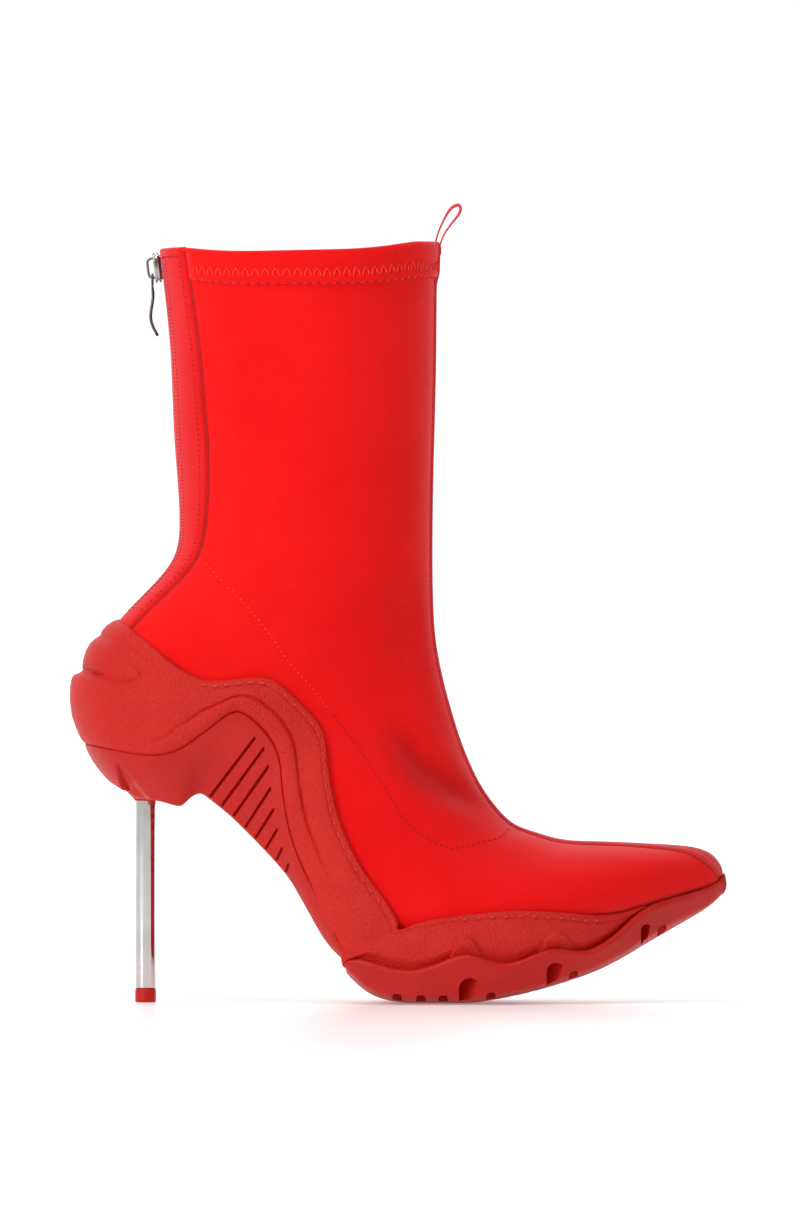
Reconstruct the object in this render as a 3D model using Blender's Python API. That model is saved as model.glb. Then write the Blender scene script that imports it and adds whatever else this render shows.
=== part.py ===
"""Stretch ankle boot with a thin metal stem heel: the solid pieces of one right boot.

The toe points along +X, up is +Z and the inner side of the foot is +Y.  The boot stands on Z = 0, on the
tip of its heel and on the flat of its forefoot.  All tables and sizes are in millimetres.
"""

import math

import bmesh
import bpy
import numpy as np

MM = 0.001

# Sizes that drive the boot
WALL = 2.0              # knitted upper, thickness of its wall
FIT_GAP = 0.3           # clear space between two pieces that meet
CURVED_GAP = 0.45       # the same where two curved pieces meet
HEM_DEPTH = 14.5        # folded hem at the collar, measured down from the rim
HEM_STEP = 1.0          # how far the hem stands out from the wall
SLIT_HALF = 2.3         # half the slit that the zip closes
SEAM_HALF = 0.8         # half the closing strip at the back seam below the zip
LASTING_CUT = 3.0       # height above the bottom line where the upper is open underneath
LIP = 2.4               # thickness of the rubber edge where it meets the upper
STEM_RADIUS = 3.65
STEM_X = -91.0
STEM_TOP = 84.0
TIP_RADIUS = 3.75
TIP_HEIGHT = 5.1
NECK_BOTTOM = 72.3      # collar of rubber around the top of the stem
NECK_RISE = 6.0
NECK_RADII = (4.6, 7.0)
FACING_THICK = 0.9
TAPE_THICK = 0.6
TAPE_GAP = 0.6
SLOT_WIDTH = 1.2
SLOT_DEPTH = 1.6
NOTCH_DEPTH = 10.0
GROOVE_DEPTH = 1.2
INSOLE_TOP = 7.5        # height of the insole's upper face above the bottom line
INSOLE_HEEL_RISE = 1.0  # how far the insole turns up at the back of the heel
INSOLE_END_HALF = 2.0   # half-width where the insole ends at heel and toe
INSOLE_CLEAR = 1.25     # clear space between the insole's edge and the inside of the upper
INSOLE_STATIONS = 26
CUT_BEYOND = 4.0        # how far a cutter runs past the face that it cuts

# Plan shift of the last: the ball swings out, the toe swings in
SWING_X = np.array([-112.0, -60.0, -10.0, 30.0, 80.0, 118.0])
SWING_Y = np.array([0.0, -0.2, -1.5, -0.5, 2.5, 4.5])

# One row for each section of the last, from the collar to the toe.  A section runs from the front line
# to the back or bottom line; widest_at is where along it (0 back, 1 front) it is widest.
SOCK = np.array([
    # front_x front_z  back_x  back_z  half  widest_at front_round back_round
    (13.4, 273.6, -85.1, 271.1, 36.0, 0.50, 1.90, 2.1),     # collar
    (13.0, 256.3, -83.3, 256.3, 35.5, 0.50, 1.90, 2.1),     # below the hem
    (12.8, 234.7, -81.2, 234.7, 35.0, 0.50, 1.90, 2.1),     # upper shaft
    (12.1, 202.3, -79.7, 202.3, 34.0, 0.50, 1.90, 2.1),     # middle shaft
    (11.5, 172.0, -77.9, 172.0, 32.5, 0.50, 1.90, 2.1),     # ankle
    (11.5, 152.0, -81.5, 157.0, 31.5, 0.50, 1.90, 2.2),     # below the ankle
    (11.8, 141.0, -91.0, 146.0, 30.5, 0.48, 1.95, 2.4),     # heel tendon
    (12.6, 130.5, -102.0, 134.0, 30.0, 0.47, 2.0, 2.7),     # top of the heel
    (14.6, 119.0, -109.3, 121.5, 30.0, 0.46, 2.0, 3.0),     # back of the heel
    (17.5, 107.5, -109.5, 107.0, 30.0, 0.45, 2.0, 3.0),     # heel corner
    (20.5, 97.5, -98.0, 100.8, 30.0, 0.44, 2.0, 3.0),       # under the heel
    (24.0, 88.0, -80.0, 98.6, 30.0, 0.43, 2.0, 3.0),        # front of the heel seat
    (28.0, 79.5, -64.0, 92.8, 30.2, 0.42, 2.0, 3.0),        # arch
    (33.0, 71.8, -50.0, 77.5, 31.0, 0.41, 2.0, 3.0),        # waist
    (40.0, 64.4, -36.0, 55.5, 33.0, 0.40, 2.0, 3.2),        # shank
    (49.0, 60.5, -17.0, 31.5, 36.0, 0.38, 2.0, 3.6),        # behind the ball
    (58.0, 58.0, 2.0, 22.4, 38.5, 0.36, 2.0, 3.8),          # ball
    (68.0, 57.2, 24.0, 20.8, 39.0, 0.35, 2.0, 3.6),         # front of the ball
    (80.0, 56.8, 48.0, 22.6, 36.5, 0.35, 2.0, 3.2),         # toes
    (92.0, 56.2, 72.0, 27.6, 29.0, 0.35, 2.0, 2.8),         # toe box
    (103.0, 55.4, 93.0, 33.9, 19.0, 0.36, 2.0, 2.5),        # front of the toe box
    (109.0, 54.2, 105.0, 37.8, 12.0, 0.38, 2.0, 2.2),       # point
    (113.0, 52.0, 111.5, 40.0, 7.5, 0.42, 2.0, 2.1),        # nose
    (115.3, 49.0, 114.4, 42.2, 4.0, 0.45, 2.0, 2.0),        # round of the nose
    (116.1, 45.5, 116.1, 45.5, 0.0, 0.50, 2.0, 2.0),        # tip
])
ROW_ANKLE = 4
ROW_HEEL_TOP = 7
ROW_HEEL_CORNER = 9
ROW_UNDER_HEEL = 10
ROW_POINT = 21
ROW_NOSE = 22
ROW_ROUND = 23
ROW_TIP = 24
FACING_CELLS = 4        # cells of the upper under a zip facing
SIDE_CELLS = 10         # cells from a facing to the front line
LENGTH_ROWS = 34        # rows of cells from the hem to the toe

# Rubber sole, one row for each column of its side wall, from the heel round to the end of the shank.
# bottom, line and top are side-view points: lower edge, wavy parting line, upper edge of the cup.
HEEL_BACK = (-102.5, 78.8, -113.0, 93.0, -101.0, 137.3)
REAR = np.array([
    # bottom_x bottom_z line_x line_z top_x top_z bottom_y line_y belly band bead
    (-95.0, 75.3, -96.0, 89.9, -94.5, 133.2, 15.0, 27.0, 4.0, 0.5, 0.0),     # heel side
    (-86.0, 72.7, -86.0, 89.3, -84.5, 125.0, 20.0, 29.5, 3.0, 5.5, 0.4),     # middle of the heel
    (-79.0, 70.8, -78.0, 91.6, -76.0, 118.9, 22.0, 30.5, 2.4, 8.5, 0.8),     # front of the heel
    (-76.0, 72.4, -72.0, 95.6, -69.5, 116.2, 22.0, 31.5, 2.0, 9.0, 1.0),     # hook
    (-71.5, 75.2, -65.0, 101.0, -62.5, 116.1, 22.0, 32.6, 1.4, 8.0, 1.0),    # hollow
    (-67.0, 72.7, -57.5, 104.9, -54.0, 117.0, 22.0, 33.0, 1.0, 6.0, 1.0),    # arch
    (-62.0, 68.7, -51.5, 101.5, -46.0, 116.5, 22.0, 33.0, 1.0, 7.0, 1.0),    # crest
    (-56.3, 63.4, -46.0, 95.4, -38.5, 111.2, 22.0, 32.8, 1.0, 8.0, 1.0),     # shank, upper end
    (-51.5, 58.6, -42.7, 87.8, -31.5, 104.3, 22.5, 32.3, 1.0, 8.5, 1.0),
    (-47.5, 54.4, -41.8, 79.5, -26.8, 97.0, 23.0, 31.5, 1.0, 8.5, 1.0),
    (-43.6, 50.2, -40.6, 70.0, -25.2, 86.0, 23.5, 31.0, 1.0, 8.0, 1.0),
    (-39.4, 45.0, -38.6, 60.5, -22.9, 72.7, 24.5, 31.0, 1.0, 7.5, 0.8),
    (-35.5, 38.6, -34.5, 49.5, -18.5, 59.5, 25.5, 31.5, 1.0, 7.5, 0.4),
    (-31.0, 30.6, -29.5, 38.5, -11.6, 46.7, 27.0, 32.5, 1.0, 7.0, 0.0),
    (-26.0, 22.4, -25.4, 29.0, -4.5, 37.2, 29.0, 34.0, 1.0, 6.0, 0.0),
    (-20.4, 16.4, -20.8, 20.4, -0.6, 30.5, 31.5, 35.5, 1.0, 5.0, 0.0),       # end of the shank
])

# Forefoot, one row for each column of its side wall: lower edge of the tread, wavy parting line, upper edge
FORE = np.array([
    # bottom_x bottom_z line_x line_z top_x top_z bottom_y line_y
    (-18.6, 11.5, -18.8, 15.4, -0.1, 28.6, 30.0, 36.0),     # rear end of the tread
    (-15.0, 7.0, -14.5, 16.3, 0.4, 26.9, 32.2, 37.3),       # corner of the upper edge
    (-9.5, 3.0, -8.5, 15.1, 5.5, 28.7, 34.1, 38.9),
    (-3.0, 0.8, -1.5, 13.2, 11.0, 30.3, 35.7, 40.1),
    (4.0, 0.0, 6.0, 12.7, 17.0, 31.3, 36.9, 41.0),          # flat on the floor from here
    (13.0, 0.0, 14.5, 15.2, 24.0, 32.2, 37.7, 41.5),
    (25.5, 0.0, 25.5, 18.2, 32.0, 33.0, 37.8, 41.8),        # crest of the first wave
    (32.5, 0.8, 33.0, 15.9, 38.0, 33.5, 37.3, 41.6),
    (40.5, 2.3, 40.5, 15.2, 45.0, 33.7, 36.1, 41.0),
    (48.0, 4.0, 48.0, 17.9, 52.0, 33.4, 34.5, 39.8),
    (56.5, 6.4, 56.5, 20.3, 60.0, 32.9, 31.9, 37.6),        # crest of the second wave
    (65.0, 9.1, 65.0, 19.2, 68.0, 32.1, 28.2, 33.8),
    (72.0, 11.8, 72.0, 21.4, 74.0, 32.1, 25.1, 30.3),
    (78.5, 15.0, 79.0, 26.6, 80.5, 33.0, 22.0, 26.3),
    (83.3, 17.7, 84.2, 31.4, 84.8, 34.0, 19.9, 23.4),       # end of the cup wall
])

# Toe bumper in front of the cup wall: lower edge, upper edge, half-widths of both
TOE = np.array([
    # bottom_x bottom_z line_x line_z bottom_y line_y
    (84.5, 18.4, 85.8, 34.3, 19.3, 23.2),
    (91.0, 22.3, 92.0, 36.0, 16.2, 19.8),
    (100.0, 27.4, 101.0, 38.5, 11.4, 14.4),
    (108.0, 32.0, 109.0, 40.6, 7.0, 9.8),
    (113.5, 35.9, 114.5, 42.7, 3.8, 5.6),
    (117.2, 40.0, 118.3, 43.8, 0.0, 0.0),
])

# Back profile of the heel counter: three lobes, as the bulge beyond a straight line from line to top
LOBE_AT = np.array([0.0, 0.12, 0.35, 0.55, 0.59, 0.73, 0.85, 0.88, 0.95, 1.0])
LOBE_OUT = np.array([0.0, 4.2, 9.1, 10.3, 7.0, 7.7, 5.8, 4.0, 3.4, 0.0])
LOBE_FADE_X = -86.0
LOBE_FULL_X = -112.0
HEEL_STEPS = 5          # columns round the back of the heel, up to its side
HEEL_PLAN = 0.9         # power of the heel's plan curve, under 1 is fuller than an ellipse
BLOCK_SWELL = 1.2       # how far the wall of the heel block swells out
FORE_BELLY = 0.8        # swell of the cup's wall along the forefoot
FORE_BAND = 4.0         # lowest band of that wall
BAND_SHARE = 0.45       # largest share of the wall's height that the band may take

# Wall of the tread: how far it swells out at parts of its height
TREAD_AT = np.array([0.0, 0.12, 0.45, 0.8, 0.94, 1.0])
TREAD_OUT = np.array([0.0, 1.2, 1.6, 1.7, 1.2, 0.2])
TOE_FADE = 30.0         # over this length the swell of the tread runs out at the toe

# Ribs of the shank cover: side-view ends of its slots, upper end first
SLOTS = np.array([
    # upper_x upper_z lower_x lower_z
    (-51.5, 95.2, -67.3, 74.5),
    (-48.4, 91.3, -63.2, 71.1),
    (-46.7, 84.9, -59.1, 67.3),
    (-46.0, 77.0, -54.9, 63.2),
    (-44.9, 69.4, -51.5, 59.0),
    (-43.6, 62.2, -47.7, 55.3),
    (-41.7, 55.6, -43.9, 51.1),
    (-39.4, 49.8, -40.6, 46.7),
])

# Rounded notches in the edge of the tread and grooves across it
NOTCHES = np.array([
    # start_x end_x top_z
    (21.6, 29.3, 9.7),
    (53.0, 59.6, 15.0),
    (87.0, 91.0, 28.4),
])
GROOVES = np.array([-0.5, 8.0, 16.0, 33.0, 62.6, 94.6])
GROOVE_WIDTH = 3.0
NOTCH_SHARE = 0.55      # largest share of the half-width that a notch may take
NOTCH_STEPS = 8

# Flat facet on each side of the heel block beside the stem: three side-view corners and how deep it cuts
FACET = np.array([(-100.6, 88.2), (-99.9, 78.5), (-89.5, 74.6)])
FACET_CUT = 0.8
FACET_END = -80.0
FACET_TOP = 0.95        # part of the block's height where the facet has run out
FACET_FADE = 0.2

# Zip facings: width along the section, from the back line, by section row
FACING_ROWS = np.array([0.0, 1.0, 2.0, 3.0, 3.5, 4.0, 5.0, 6.0, 7.0, 8.0])
FACING_EDGE = np.array([8.6, 8.9, 9.7, 11.2, 10.2, 8.6, 7.0, 6.2, 5.6, 5.4])
ZIP_END_ROW = 7.3
CHAIN_LOW = -1.7        # inner and outer face of the chain, from the upper's outer face
CHAIN_HIGH = -0.1

# Seam tape over the front seam
TAPE_HALF = 8.0
TAPE_END_ROW = 21.3
TAPE_CELLS = 4

# Pull loop: side-view path of its tape, over the rim from outside to inside
LOOP_PATH = np.array([
    (16.4, 267.5), (16.4, 272.5), (17.2, 276.0), (19.6, 280.8), (22.0, 284.4), (21.3, 286.6), (18.6, 284.8),
    (15.0, 280.0), (12.0, 276.6), (10.0, 273.6), (9.6, 267.5),
])
LOOP_WIDTH = 6.0
LOOP_THICK = 0.9

# Zip slider and pull
SLIDER_TOP = 270.0
SLIDER_LENGTH = 11.0
SLIDER_WIDTH = 8.0
SLIDER_OUTLINE = np.array([
    # part_of_width part_of_length
    (-0.30, 0.0), (0.30, 0.0), (0.5, 0.12), (0.5, 0.62),
    (0.36, 1.0), (-0.36, 1.0), (-0.5, 0.62), (-0.5, 0.12),
])
SLIDER_LAYERS = np.array([
    # height size
    (0.0, 0.92), (0.5, 1.0), (1.8, 1.0), (2.2, 0.86),
])
BRIDGE_WIDTH = 2.0
BRIDGE_THICK = 1.0
BRIDGE_LENGTH = 7.0
BRIDGE_RISE = 2.2
BRIDGE_CORNER = 0.9     # how far the bridge's corners are cut back
BRIDGE_ROOT = 0.6       # how deep its ends stand in the plate
PULL_WIDTH = 5.6
PULL_THICK = 0.9
PULL_EYE_WIDTH = 2.8
PULL_EYE_LENGTH = 2.6
PULL_BAR = 0.9
PULL_GAP = 0.35         # between the plate and the pull's cross bar
PULL_TAPER_AT = np.array([0.0, 14.0, 19.0, 22.0])
PULL_TAPER = np.array([1.0, 1.0, 0.92, 0.55])
PULL_PATH = np.array([
    # out_from_pivot down_from_pivot
    (0.0, 0.0), (0.1, 3.0), (-0.2, 8.0), (0.5, 13.0), (0.4, 17.0), (-0.8, 20.0), (-1.9, 22.0),
])

MATERIALS = {
    # name: (red, green, blue, metallic, roughness)
    "red_knit": (0.80, 0.012, 0.012, 0.0, 0.85),
    "red_tape": (0.72, 0.018, 0.018, 0.0, 0.80),
    "red_rubber": (0.60, 0.035, 0.028, 0.0, 0.55),
    "bright_metal": (0.78, 0.78, 0.77, 1.0, 0.12),
    "dark_metal": (0.10, 0.10, 0.11, 1.0, 0.30),
    "dark_lining": (0.35, 0.02, 0.02, 0.0, 0.80),
}


def spline(knots, values, at):
    """Natural cubic spline through rows of values at the knots, evaluated at the places given."""
    count = len(knots)
    step = np.diff(knots)
    rise = np.diff(values, axis=0) / step[:, None]
    matrix = np.eye(count)
    right = np.zeros_like(values)
    inner = np.arange(1, count - 1)
    matrix[inner, inner - 1] = step[:-1]
    matrix[inner, inner] = 2 * (step[:-1] + step[1:])
    matrix[inner, inner + 1] = step[1:]
    right[1:-1] = 6 * np.diff(rise, axis=0)
    bend = np.linalg.solve(matrix, right)
    k = np.clip(np.searchsorted(knots, at, side="right") - 1, 0, count - 2)
    d = (at - knots[k])[:, None]
    h = step[k][:, None]
    slope = rise[k] - h * (2 * bend[k] + bend[k + 1]) / 6
    return values[k] + slope * d + bend[k] / 2 * d ** 2 + (bend[k + 1] - bend[k]) / (6 * h) * d ** 3


def sock_knots():
    """Distance along the last from section to section, the mean of the front and the back line."""
    front = np.hypot(*np.diff(SOCK[:, 0:2], axis=0).T)
    back = np.hypot(*np.diff(SOCK[:, 2:4], axis=0).T)
    return np.concatenate([[0.0], np.cumsum((front + back) / 2)])


KNOTS = sock_knots()


def at_row(row):
    """Distance along the last at a section row, which may lie between two rows."""
    return np.interp(row, np.arange(len(KNOTS)), KNOTS)


def swing(x):
    """Sideways shift of the last's centre line at a place along the boot."""
    x = np.asarray(x, float)
    inside = np.clip(x, SWING_X[0], SWING_X[-1]).ravel()
    return spline(SWING_X, SWING_Y[:, None], inside)[:, 0].reshape(x.shape)


def sock_point(along, angle):
    """Outer surface of the upper: a superellipse in each section, angle -90 at the back, 90 at the front."""
    fx, fz, bx, bz, half, wide, round_front, round_back = spline(KNOTS, SOCK, along.ravel()).T.reshape(
        8, *along.shape)
    s = np.sin(angle)
    c = np.cos(angle)
    power = 2 / np.where(s > 0, round_front, round_back)
    reach = np.where(s > 0, 1 - wide, wide)
    a = wide + reach * np.sign(s) * np.abs(s) ** power
    x = bx + a * (fx - bx)
    z = bz + a * (fz - bz)
    y = np.maximum(half, 0) * np.sign(c) * np.abs(c) ** power + swing(x)
    return np.stack([x, y, z], axis=-1)


def sock_surface(along, angle, offset):
    """Points of the upper's surface moved outward by an offset, one for each grid place."""
    small = 1e-3
    place = sock_point(along, angle)
    low = np.maximum(along - small, 0)
    high = np.minimum(along + small, KNOTS[-1] - small)
    run = sock_point(high, angle) - sock_point(low, angle)
    turn = sock_point(along, angle + small) - sock_point(along, angle - small)
    normal = np.cross(turn, run)
    size = np.linalg.norm(normal, axis=-1, keepdims=True)
    normal = np.where(size > 1e-9, normal / np.maximum(size, 1e-12), np.array([1.0, 0.0, 0.0]))
    return place + normal * np.broadcast_to(offset, along.shape)[..., None]


def sock_half(x, z):
    """Half-width of the upper where the side view shows the point (x, z); zero outside its outline."""
    low = np.zeros_like(x)
    high = np.full_like(x, KNOTS[-1])
    for _ in range(40):
        middle = (low + high) / 2
        row = spline(KNOTS, SOCK, middle)
        side = (row[:, 0] - row[:, 2]) * (z - row[:, 3]) - (row[:, 1] - row[:, 3]) * (x - row[:, 2])
        low = np.where(side < 0, middle, low)
        high = np.where(side < 0, high, middle)
    dx = row[:, 0] - row[:, 2]
    dz = row[:, 1] - row[:, 3]
    a = ((x - row[:, 2]) * dx + (z - row[:, 3]) * dz) / (dx ** 2 + dz ** 2 + 1e-9)
    wide = row[:, 5]
    power = np.where(a > wide, row[:, 6], row[:, 7])
    reach = np.where(a > wide, (a - wide) / (1 - wide), (wide - a) / wide)
    half = row[:, 4] * np.clip(1 - np.clip(reach, 0, 1) ** power, 0, 1) ** (1 / power)
    return np.where((a < 0) | (a > 1), 0.0, half)


def angle_from_back(along, distance):
    """Angle past the back line at which a section has run this distance toward the front."""
    row = spline(KNOTS, SOCK, along)
    length = np.hypot(row[:, 0] - row[:, 2], row[:, 1] - row[:, 3])
    reach = np.clip(1 - distance / np.maximum(length * row[:, 5], 1e-6), 0, 1)
    return np.arccos(reach ** (row[:, 7] / 2))


def angle_across_front(along, half):
    """Angle short of the front line at which a section is this far from the middle plane."""
    row = spline(KNOTS, SOCK, along)
    part = np.clip(half / np.maximum(row[:, 4], 1e-6), 0, 1)
    return np.arcsin(part ** (row[:, 6] / 2))


def angle_of_half(along, half):
    """Angle past the back line at which a section is this far from the middle plane."""
    row = spline(KNOTS, SOCK, along)
    part = np.clip(half / np.maximum(row[:, 4], 1e-6), 0, 1)
    return np.arcsin(part ** (row[:, 7] / 2))


def ease(value):
    """Smooth step from 0 to 1."""
    t = np.clip(value, 0, 1)
    return t * t * (3 - 2 * t)


def material(name):
    """Principled material from the table, made once."""
    if name in bpy.data.materials:
        return bpy.data.materials[name]
    red, green, blue, metal, rough = MATERIALS[name]
    made = bpy.data.materials.new(name)
    made.use_nodes = True
    shader = made.node_tree.nodes["Principled BSDF"]
    shader.inputs["Base Color"].default_value = (red, green, blue, 1)
    shader.inputs["Metallic"].default_value = metal
    shader.inputs["Roughness"].default_value = rough
    return made


def add_object(name, points, faces, slot, smooth=True):
    """Closed mesh object from points in millimetres."""
    mesh = bpy.data.meshes.new(name)
    mesh.from_pydata((np.asarray(points) * MM).tolist(), [], faces)
    body = bmesh.new()
    body.from_mesh(mesh)
    bmesh.ops.remove_doubles(body, verts=body.verts, dist=2e-6)
    bmesh.ops.recalc_face_normals(body, faces=body.faces)
    body.to_mesh(mesh)
    body.free()
    mesh.polygons.foreach_set("use_smooth", [smooth] * len(mesh.polygons))
    made = bpy.data.objects.new(name, mesh)
    bpy.context.scene.collection.objects.link(made)
    if slot:
        mesh.materials.append(material(slot))
    else:
        made.hide_render = True
        made.display_type = "WIRE"
    return made


def add_boolean(target, cutter, operation):
    """Exact cut, join or common part with another object."""
    step = target.modifiers.new(cutter.name, "BOOLEAN")
    step.operation = operation
    step.solver = "EXACT"
    step.object = cutter


def split_cell(ring, mirrored):
    """Two triangles of a four-sided cell; the mirrored cells are split along the other diagonal."""
    a, b, c, d = ring
    if mirrored:
        return (a, b, d), (b, c, d)
    return (a, b, c), (a, c, d)


def add_shell(name, outer, inner, present, slot, turn):
    """Closed body between two grids of the same shape, where the cells present are filled.

    From the column turn on, the cells are split as mirror images of those before it.
    """
    rows, columns = outer.shape[:2]
    points = np.concatenate([outer.reshape(-1, 3), inner.reshape(-1, 3)])
    back = rows * columns
    faces = []
    edges = {}
    for i in range(present.shape[0]):
        for j in range(present.shape[1]):
            if not present[i, j]:
                continue
            k = (j + 1) % columns
            ring = (i * columns + j, i * columns + k, (i + 1) * columns + k, (i + 1) * columns + j)
            for part in split_cell(ring, j >= turn):
                faces.append(part)
                faces.append(tuple(back + v for v in reversed(part)))
            for a, b in zip(ring, ring[1:] + ring[:1]):
                edges[(a, b)] = True
    for a, b in edges:
        if (b, a) not in edges and np.linalg.norm(points[a] - points[b]) > 1e-3:
            faces.append((b, a, back + a, back + b))
    return add_object(name, points, faces, slot)


def add_loft(name, rings, slot, smooth=True):
    """Closed body through rings of points with a flat cap at each end."""
    count, size = rings.shape[:2]
    faces = []
    for i in range(count - 1):
        for j in range(size):
            k = (j + 1) % size
            ring = (i * size + j, i * size + k, (i + 1) * size + k, (i + 1) * size + j)
            faces.extend(split_cell(ring, j >= size // 2))
    faces.append(tuple(range(size)))
    faces.append(tuple((count - 1) * size + j for j in range(size)))
    return add_object(name, rings.reshape(-1, 3), faces, slot, smooth)


def add_loaf(name, side, slot):
    """Closed body from the wall of one side: side[column, row] ends at the column in the middle plane.

    side holds the outer and the inner half, (2, columns, rows, 3); straight strips across close the
    top and the bottom, and a flat cap closes the open end.
    """
    columns, rows = side.shape[1:3]
    wall = np.concatenate([side[0], side[1][-2::-1]])
    last = 2 * columns - 2

    def at(i, j):
        return i * rows + j

    faces = []
    for i in range(last):
        for j in range(rows - 1):
            faces.append((at(i, j), at(i + 1, j), at(i + 1, j + 1), at(i, j + 1)))
    for i in range(columns - 1):
        for j in (0, rows - 1):
            ring = [at(i, j), at(i + 1, j), at(last - i - 1, j), at(last - i, j)]
            faces.append(tuple(dict.fromkeys(ring)))
    for j in range(rows - 1):
        faces.append((at(0, j), at(0, j + 1), at(last, j + 1), at(last, j)))
    return add_object(name, wall.reshape(-1, 3), faces, slot)


def outward(line):
    """Level direction square to a run of points, away from the middle plane on the outer side (-Y)."""
    run = np.gradient(line[:, :2], axis=0)
    run[:, 0] *= np.abs(line[:, 1]) > 1e-6
    away = np.stack([run[:, 1], -run[:, 0]], axis=1)
    away /= np.maximum(np.linalg.norm(away, axis=1, keepdims=True), 1e-9)
    return np.concatenate([away, np.zeros((len(line), 1))], axis=1)


def both_sides(wall):
    """Outer half as it is and inner half mirrored, both moved with the swing of the last."""
    mirrored = wall * np.array([1.0, -1.0, 1.0])
    pair = np.stack([wall, mirrored])
    pair[..., 1] += swing(pair[..., 0])
    return pair


def heel_round(back, side):
    """Level curve from the back of the heel to its side, a quarter ellipse in plan, half-width as -Y."""
    turn = np.linspace(0, math.pi / 2, HEEL_STEPS + 1)[:-1]
    x = side[0] - (side[0] - back[0]) * np.cos(turn)
    y = -side[1] * np.sin(turn) ** HEEL_PLAN
    z = side[2] - (side[2] - back[1]) * np.cos(turn)
    return np.stack([x, y, z], axis=1)


def rear_curves():
    """Bottom, line and top curves of the rear sole, from the back of the heel to the end of the shank."""
    top_half = sock_half(REAR[:, 4], REAR[:, 5]) + LIP
    curves = []
    for back, x, z, half in (
            (HEEL_BACK[0:2], REAR[:, 0], REAR[:, 1], REAR[:, 6]),
            (HEEL_BACK[2:4], REAR[:, 2], REAR[:, 3], REAR[:, 7]),
            (HEEL_BACK[4:6], REAR[:, 4], REAR[:, 5], top_half)):
        rest = np.stack([x, -half, z], axis=1)
        curves.append(np.concatenate([heel_round(back, (x[0], half[0], z[0])), rest]))
    extra = np.concatenate([np.repeat(REAR[:1, 8:11], HEEL_STEPS, axis=0), REAR[:, 8:11]])
    return curves, extra


def cup_wall():
    """Outer wall of the cup, columns from the front end back to the heel, rows from the line to the top."""
    (_, line, top), extra = rear_curves()
    fore_half = sock_half(FORE[:, 4], FORE[:, 5]) + LIP
    line = np.concatenate([line, np.stack([FORE[:, 2], -FORE[:, 7], FORE[:, 3]], axis=1)])
    top = np.concatenate([top, np.stack([FORE[:, 4], -fore_half, FORE[:, 5]], axis=1)])
    fore_extra = np.tile(np.array([FORE_BELLY, FORE_BAND, 0.0]), (len(FORE), 1))
    belly, band, bead = np.concatenate([extra, fore_extra]).T
    length = np.linalg.norm(top - line, axis=1)
    start = FIT_GAP / length
    share = np.minimum(band / length, BAND_SHARE)
    rows = []
    for part in (0.0, 0.5, 1.0):
        rows.append(start + (share - start) * part)
    for part in LOBE_AT[1:]:
        rows.append(share + (1 - share) * part)
    t = np.stack(rows, axis=1)
    lobes = np.interp(t, LOBE_AT, LOBE_OUT)
    back = ease((LOBE_FADE_X - line[:, 0]) / (LOBE_FADE_X - LOBE_FULL_X))[:, None]
    swell = belly[:, None] * 4 * t * (1 - t)
    ridge = bead[:, None] * np.sin(math.pi * np.clip(t / share[:, None], 0, 1))
    out = lobes * back + swell * (1 - back) + ridge
    away = outward(line)
    wall = line[:, None] + t[..., None] * (top - line)[:, None] + out[..., None] * away[:, None]
    return wall[::-1]


def block_wall(rows):
    """Outer wall of the heel block and its shank cover, rows from the lower edge to the parting line."""
    (bottom, line, _), _ = rear_curves()
    t = np.linspace(0, 1, rows)[None, :]
    away = outward(line)
    swell = BLOCK_SWELL * 4 * t * (1 - t)
    wall = bottom[:, None] + t[..., None] * (line - bottom)[:, None] + swell[..., None] * away[:, None]
    corner = np.stack([FACET[:, 0], -wall_half(wall, FACET), FACET[:, 1]], axis=1)
    normal = np.cross(corner[1] - corner[0], corner[2] - corner[0])
    normal *= np.sign(-normal[1]) / np.linalg.norm(normal)
    fade = np.clip((FACET_TOP - t) / FACET_FADE, 0, 1) * (wall[..., 0] < FACET_END)
    beyond = np.maximum((wall - corner[0]) @ normal + FACET_CUT, 0) * fade
    wall = wall - beyond[..., None] * normal
    return wall[::-1]


def wall_half(wall, places):
    """Half-width of a wall grid where the side view shows each of the places."""
    flat = wall.reshape(-1, 3)
    apart = np.hypot(flat[:, 0] - places[:, :1], flat[:, 2] - places[:, 1:2])
    return -flat[np.argmin(apart, axis=1), 1]


def tread_wall():
    """Outer wall of the outsole, from its rear end to the toe, rows from the lower to the upper edge."""
    edges = np.concatenate([FORE[:, [0, 1, 2, 3, 6, 7]], TOE])
    bottom = np.stack([edges[:, 0], -edges[:, 4], edges[:, 1]], axis=1)
    line = np.stack([edges[:, 2], -edges[:, 5], edges[:, 3]], axis=1)
    fade = np.clip((edges[-1, 2] - edges[:, 2]) / TOE_FADE, 0, 1)
    swell = (TREAD_OUT[None, :] * fade[:, None])[..., None] * outward(line)[:, None]
    return bottom[:, None] + TREAD_AT[None, :, None] * (line - bottom)[:, None] + swell


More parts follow.
